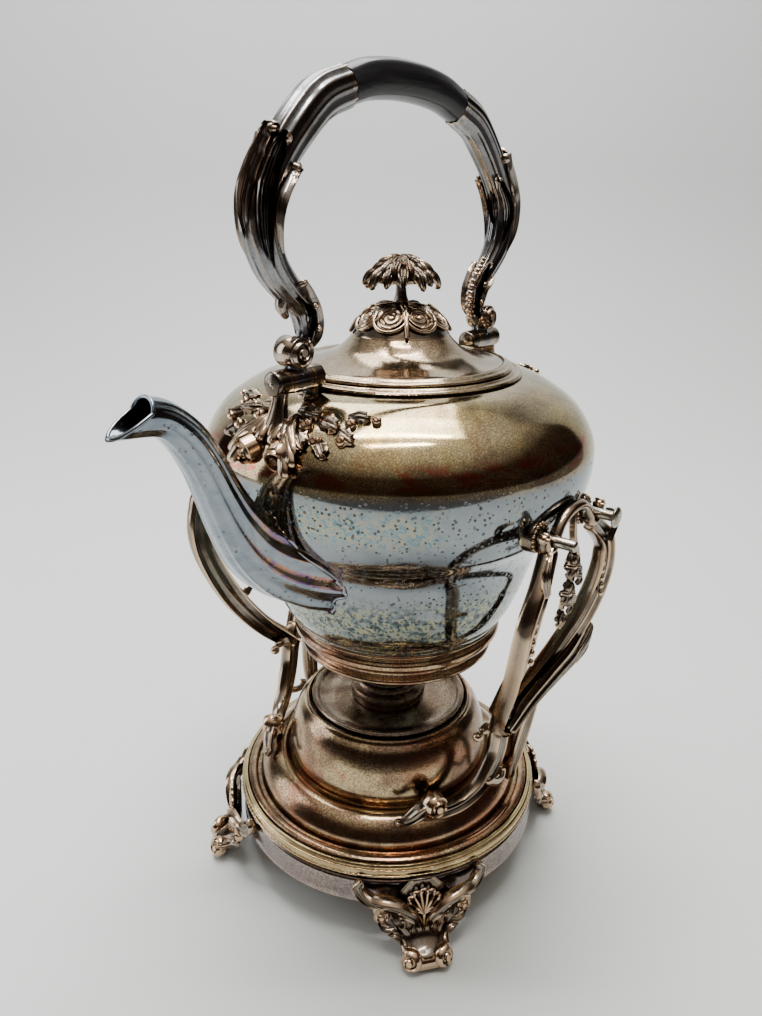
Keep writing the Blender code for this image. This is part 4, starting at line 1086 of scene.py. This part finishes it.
def build_lid():
    outline = profile([(2.4, 298.2), (7, 298), (13, 296), (18, 293.2), (22, 289.4), (25.4, 285.6),
                       (30, 281.8), (37, 278.9), (44, 277.2), (47.6, 276.8)],
                      [(48, 277.1), (49, 277.3), (50, 276.9)], [(50.4, 276.3), (51.6, 276.1), (52.4, 275.3),
                      (52.2, 274.4)], [(49.1, 274.3), (49.1, 265.5)], [(47.9, 265.5), (47.9, 275)],
                      [(37, 277.2), (29, 280.6), (21, 287.6), (12, 294.8), (2.4, 296.8)])
    turned_piece("lid", "lid", "lid_dome", LID, outline, 180, closed=True)
    shape = bmesh.new()
    base = profile([(2.4, 300.6), (8, 299.9), (14, 297.4), (19.4, 293.4), (22.6, 289.2)],
                   [(22.8, 288.8), (18.3, 293.2)], [(13.1, 296.3), (7, 298.3), (2.4, 298.5)])
    lathe(shape, base, steps=96, closed=True)
    for index in range(4):
        corner = math.radians(45 + 90 * index)
        turn = Matrix.Rotation(corner, 3, "Z")
        for side in (-1, 1):
            spot = turn @ Vector((14.6, side * 6.4, 297))
            out = turn @ Vector((0.62, side * 0.3, 0.78))
            volute(shape, spot, out, turn @ Vector((1, side * 0.2, -0.7)), 7, turns=2.2, depth=1.3, thick=1.2,
                   hand=side)
            flat = turn @ Vector((1, side * 0.2, -0.95)).normalized()
            facing = out.normalized()
            cross = facing.cross(flat)
            hoop = []
            for step in range(9):
                angle = math.radians(-130 + 32 * step) * side
                hoop.append((*(spot + (flat * math.cos(angle) + cross * math.sin(angle)) * 7.6
                               + facing * 0.2), 1, 0.9))
            sweep(shape, hoop, oval(8), side=out, per_span=3)
        rib = [(4, 0, 301.4, 1.4, 1.4), (12, 0, 300, 1.4, 1.5), (19.4, 0, 295.4, 1.3, 1.3),
               (23.2, 0, 290.4, 1, 1)]
        sweep(shape, turned_rows(rib, corner), oval(10), side=turn @ Vector((0, 1, 0)))
        quarter = math.radians(90 * index)
        tongue = [(5, 0, 301.4, 1.8), (11, 0, 300.6, 3.2), (16, 0, 297.4, 2.4), (19, 0, 294.6, 0.7)]
        leaf(shape, turned_rows(tongue, quarter), turned_row((0.5, 0, 0.9), quarter), lobes=3, thick=0.8,
             cup=0.35)
    piece("collar", shape, "lid", "lid_collar", CAST)
    build_finial()


def build_finial():
    """Drooping many-petalled flower on a ribbed stem, and the nut that holds it."""
    shape = bmesh.new()
    stem = [(0, 0, height, half, half) for height, half in ((288, 2), (300, 2.1), (303, 3.4), (306, 2.6),
                                                            (310, 2.3), (314, 3.2))]
    sweep(shape, stem, oval(20, 5, 0.08), side=(1, 0, 0))
    tiers = [(13, 15.8, 316.4, 309.6, 3.4, 0.0), (11, 12.6, 319, 312.6, 3.2, 0.3),
             (8, 9, 320.6, 317, 2.9, 0.1), (5, 5.2, 321.6, 320, 2.4, 0.5)]
    for count, reach, top, tip, width, offset in tiers:
        for index in range(count):
            wander = math.sin(2.7 * index + reach)
            angle = math.tau * (index + offset + 0.16 * wander) / count
            far = reach * (1 + 0.05 * math.cos(4.1 * index))
            drop = (top - tip) * (1 + 0.16 * wander)
            out = Vector((math.cos(angle), math.sin(angle), 0))
            petal = [(0.15, top - 1.4, 0.5), (0.5, top, 0.95), (0.85, top - drop * 0.3, 1),
                     (1, top - drop * 0.75, 0.6), (0.99, top - drop, 0.14)]
            rows = [(*(out * (far * share) + Vector((0, 0, height))), width * part)
                    for share, height, part in petal]
            leaf(shape, rows, out * 0.6 + Vector((0, 0, 1)), lobes=1, cut=0.08, thick=0.9, cup=0.5, veins=3)
    under = profile([(2.4, 311), (8, 312.4), (13.4, 311.6)], [(13.6, 313), (8, 317.4), (2, 318)])
    lathe(shape, under, steps=48)
    piece("finial", shape, "lid", "lid_finial", CAST)
    nut = profile([(2.8, 296.2), (5.8, 296), (6, 295.6)], [(6, 292.8), (5.7, 292.5), (2.8, 292.5)])
    turned_piece("stud_nut", "lid", "finial_nut", SHAFT, nut, 6, closed=True)


# ------------------------------------------------------------------ spirit lamp

def build_lamp():
    outline = profile([(0, 88.6), (15.4, 88.6)], [(15.4, 92.6), (21, 92.2), (29, 90.2), (34, 90.8),
                      (38, 93)], [(38.6, 94.6), (40.2, 95.6), (41.6, 94.8), (41.8, 93.4)],
                      [(40.6, 92), (40, 90.6), (41, 89.4)], [(42.2, 89), (42.6, 87.6), (42.6, 84)],
                      [(40.2, 84), (40.2, 74)], [(39.6, 73.1), (0, 73)])
    turned_piece("reservoir", "lamp", "lamp_reservoir", LAMP, outline, 144)
    collar = profile([(14.6, 104.4), (15.8, 104.6), (16.9, 104.2)],
                     [(17.6, 103.6), (18, 102.6), (17.4, 101.6)],
                     [(16.9, 101), (18, 100.4), (19.6, 99.8), (20.2, 98.6)],
                     [(20.4, 97.4), (20.2, 95.8), (19.6, 93)], [(15.7, 92.9), (14.6, 96)])
    turned_piece("neck", "lamp", "lamp_neck", LAMP, collar, 120, closed=True)
    head = profile([(7, 114.5), (9, 114.8), (11.6, 114.5)], [(12.4, 113.8), (12.6, 112.4), (12.6, 107)],
                   [(13.2, 106.6), (15.2, 106.4), (15.8, 105.6), (15.6, 104.8)], [(14.2, 104.7), (14.2, 92)],
                   [(7, 92), (7, 100)])
    turned_piece("burner", "burner", "burner_head", BURNER, head, 120, slot="burner_metal",
                 waves=60, wave=0.08, closed=True)
    wick = profile([(0, 116.9), (3, 117.1), (5.4, 116.6), (6.5, 115)], [(6.5, 92), (0, 91)])
    turned_piece("wick_bundle", "burner", "wick", COTTON, wick, 64, slot="wick_cotton",
                 waves=16, wave=0.12)


# ------------------------------------------------------------------ put it together

build_base()
build_bead_ring()
for number in range(4):
    foot_turn = FOOT_TURN - math.pi / 4 + number * math.pi / 2
    build_foot(f"cast_foot_{number + 1}", f"foot_{number + 1}", foot_turn)
build_casting("casting_right", "support_right", CASTING_TURN, None)
build_casting("casting_left", "support_left", -CASTING_TURN, (1, -1, 1))
build_flowers("flowers_right", "support_flower_right", None)
build_flowers("flowers_left", "support_flower_left", (1, -1, 1))
build_body()
build_rings()
build_spout()
for where, along, button in (("front", -TRUNNION_X, False), ("rear", TRUNNION_X, True)):
    for side_name, side in (("right", -1), ("left", 1)):
        label = f"{where}_{side_name}"
        build_trunnion("shaft_" + label, "trunnion_" + label, "trunnion_boss_" + label, along, side, button)
for where, across in (("front", None), ("rear", (-1, 1, 1))):
    build_mount("mount_" + where, "handle_mount_" + where, across)
    build_pin("pin_" + where, "hinge_pin_" + where, across)
    build_arm("arm_" + where, "handle_arm_" + where, across)
build_grip()
build_lid()
build_lamp()


# ------------------------------------------------------------------ studio

def paper():
    """Matt pale paper with faint clouding."""
    look, tree, shader, where = new_look("paper")
    pale = (0.67, 0.70, 0.69)
    shade = spots(tree, 0.0, where, 3.0, detail=3.0)
    color = ramp(tree, shade, (0.3, pale), (0.7, tuple(part * 0.97 for part in pale)))
    feed(tree, shader.inputs["Base Color"], color)
    shader.inputs["Roughness"].default_value = 0.75
    return look


def build_studio():
    """Pale table that curves up into a backdrop behind the kettle."""
    away = Vector((0.781, 0.625, 0))
    across = Vector((0.625, -0.781, 0))
    half_width = 1500
    bend = 400
    bend_start = 700
    line = [(-620, 0), (200, 0), (bend_start, 0)]
    for degrees in range(10, 91, 10):
        turn = math.radians(degrees)
        line.append((bend_start + bend * math.sin(turn), bend - bend * math.cos(turn)))
    line.append((bend_start + bend, 2200))
    rows = [[away * reach + across * span + Vector((0, 0, height)) for span in (-half_width, half_width)]
            for reach, height in line]
    shape = bmesh.new()
    for lower, upper in zip(rows, rows[1:]):
        shape.faces.new([shape.verts.new(point) for point in (*lower, *upper[::-1])])
    bmesh.ops.remove_doubles(shape, verts=shape.verts, dist=0.01)
    smooth_object("backdrop", shape, paper())


def area_light(name, place, target, size, power, color=(1, 1, 1), turn=None):
    """Rectangular light facing a target; turn lays an overhead one flat at that angle instead."""
    data = bpy.data.lights.new(name, "AREA")
    data.shape = "RECTANGLE"
    data.size, data.size_y = size
    data.energy = power
    data.color = color
    made = bpy.data.objects.new(name, data)
    made.location = place
    if turn is None:
        made.rotation_euler = (Vector(target) - Vector(place)).to_track_quat("-Z", "Y").to_euler()
    else:
        made.rotation_euler.z = turn
    bpy.context.scene.collection.objects.link(made)


def build_world():
    world = bpy.data.worlds.new("studio")
    bpy.context.scene.world = world
    world.use_nodes = True
    tree = world.node_tree
    background = tree.nodes["Background"]
    height = node(tree, "SeparateXYZ", "Z", Vector=node(tree, "TexCoord", "Generated"))
    color = ramp(tree, height, (0.0, (0.20, 0.19, 0.18)), (0.04, (0.026, 0.018, 0.015)),
                 (0.50, (0.060, 0.042, 0.033)), (0.68, (0.42, 0.38, 0.33)), (0.85, (0.95, 0.90, 0.83)),
                 (1.0, (1.25, 1.2, 1.12)))
    feed(tree, background.inputs["Color"], color)
    background.inputs["Strength"].default_value = 0.9


def build_camera():
    """The camera fitted to the photograph's view, placed about the stand."""
    data = bpy.data.cameras.new("camera")
    data.sensor_fit = "HORIZONTAL"
    data.sensor_width = 36
    data.lens = 36.85
    made = bpy.data.objects.new("camera", data)
    bpy.context.scene.collection.objects.link(made)
    right = Vector((0.6269, -0.7791, 0.0058))
    up = Vector((0.2774, 0.2301, 0.9328))
    forward = Vector((0.7281, 0.5831, -0.3603))
    turn = Matrix((right, up, -forward)).transposed()
    made.matrix_world = Matrix.Translation(STAND + Vector((-0.2896, -0.2262, 0.3434))) @ turn.to_4x4()
    bpy.context.scene.camera = made


build_studio()
build_world()
build_camera()
area_light("overhead", (0.35, 0.45, 1.5), (0, 0, 0.1), (1.1, 0.9), 20)
area_light("backdrop_wash", (0.2, 0.1, 1.9), (0.95, 0.76, 0.5), (1.2, 0.6), 16)
area_light("strip_near", (-0.27, -0.22, 1.55), (0, 0, 0.25), (0.05, 0.6), 8, (1.0, 0.97, 0.92), turn=0.894)
area_light("strip_top", (0.02, 0.02, 1.6), (0, 0, 0.25), (0.06, 0.9), 8, (1.0, 0.97, 0.92), turn=0.675)
area_light("side", (-0.6, 0.9, 0.5), (0, 0, 0.15), (0.5, 0.9), 5, (0.92, 0.96, 1.0))
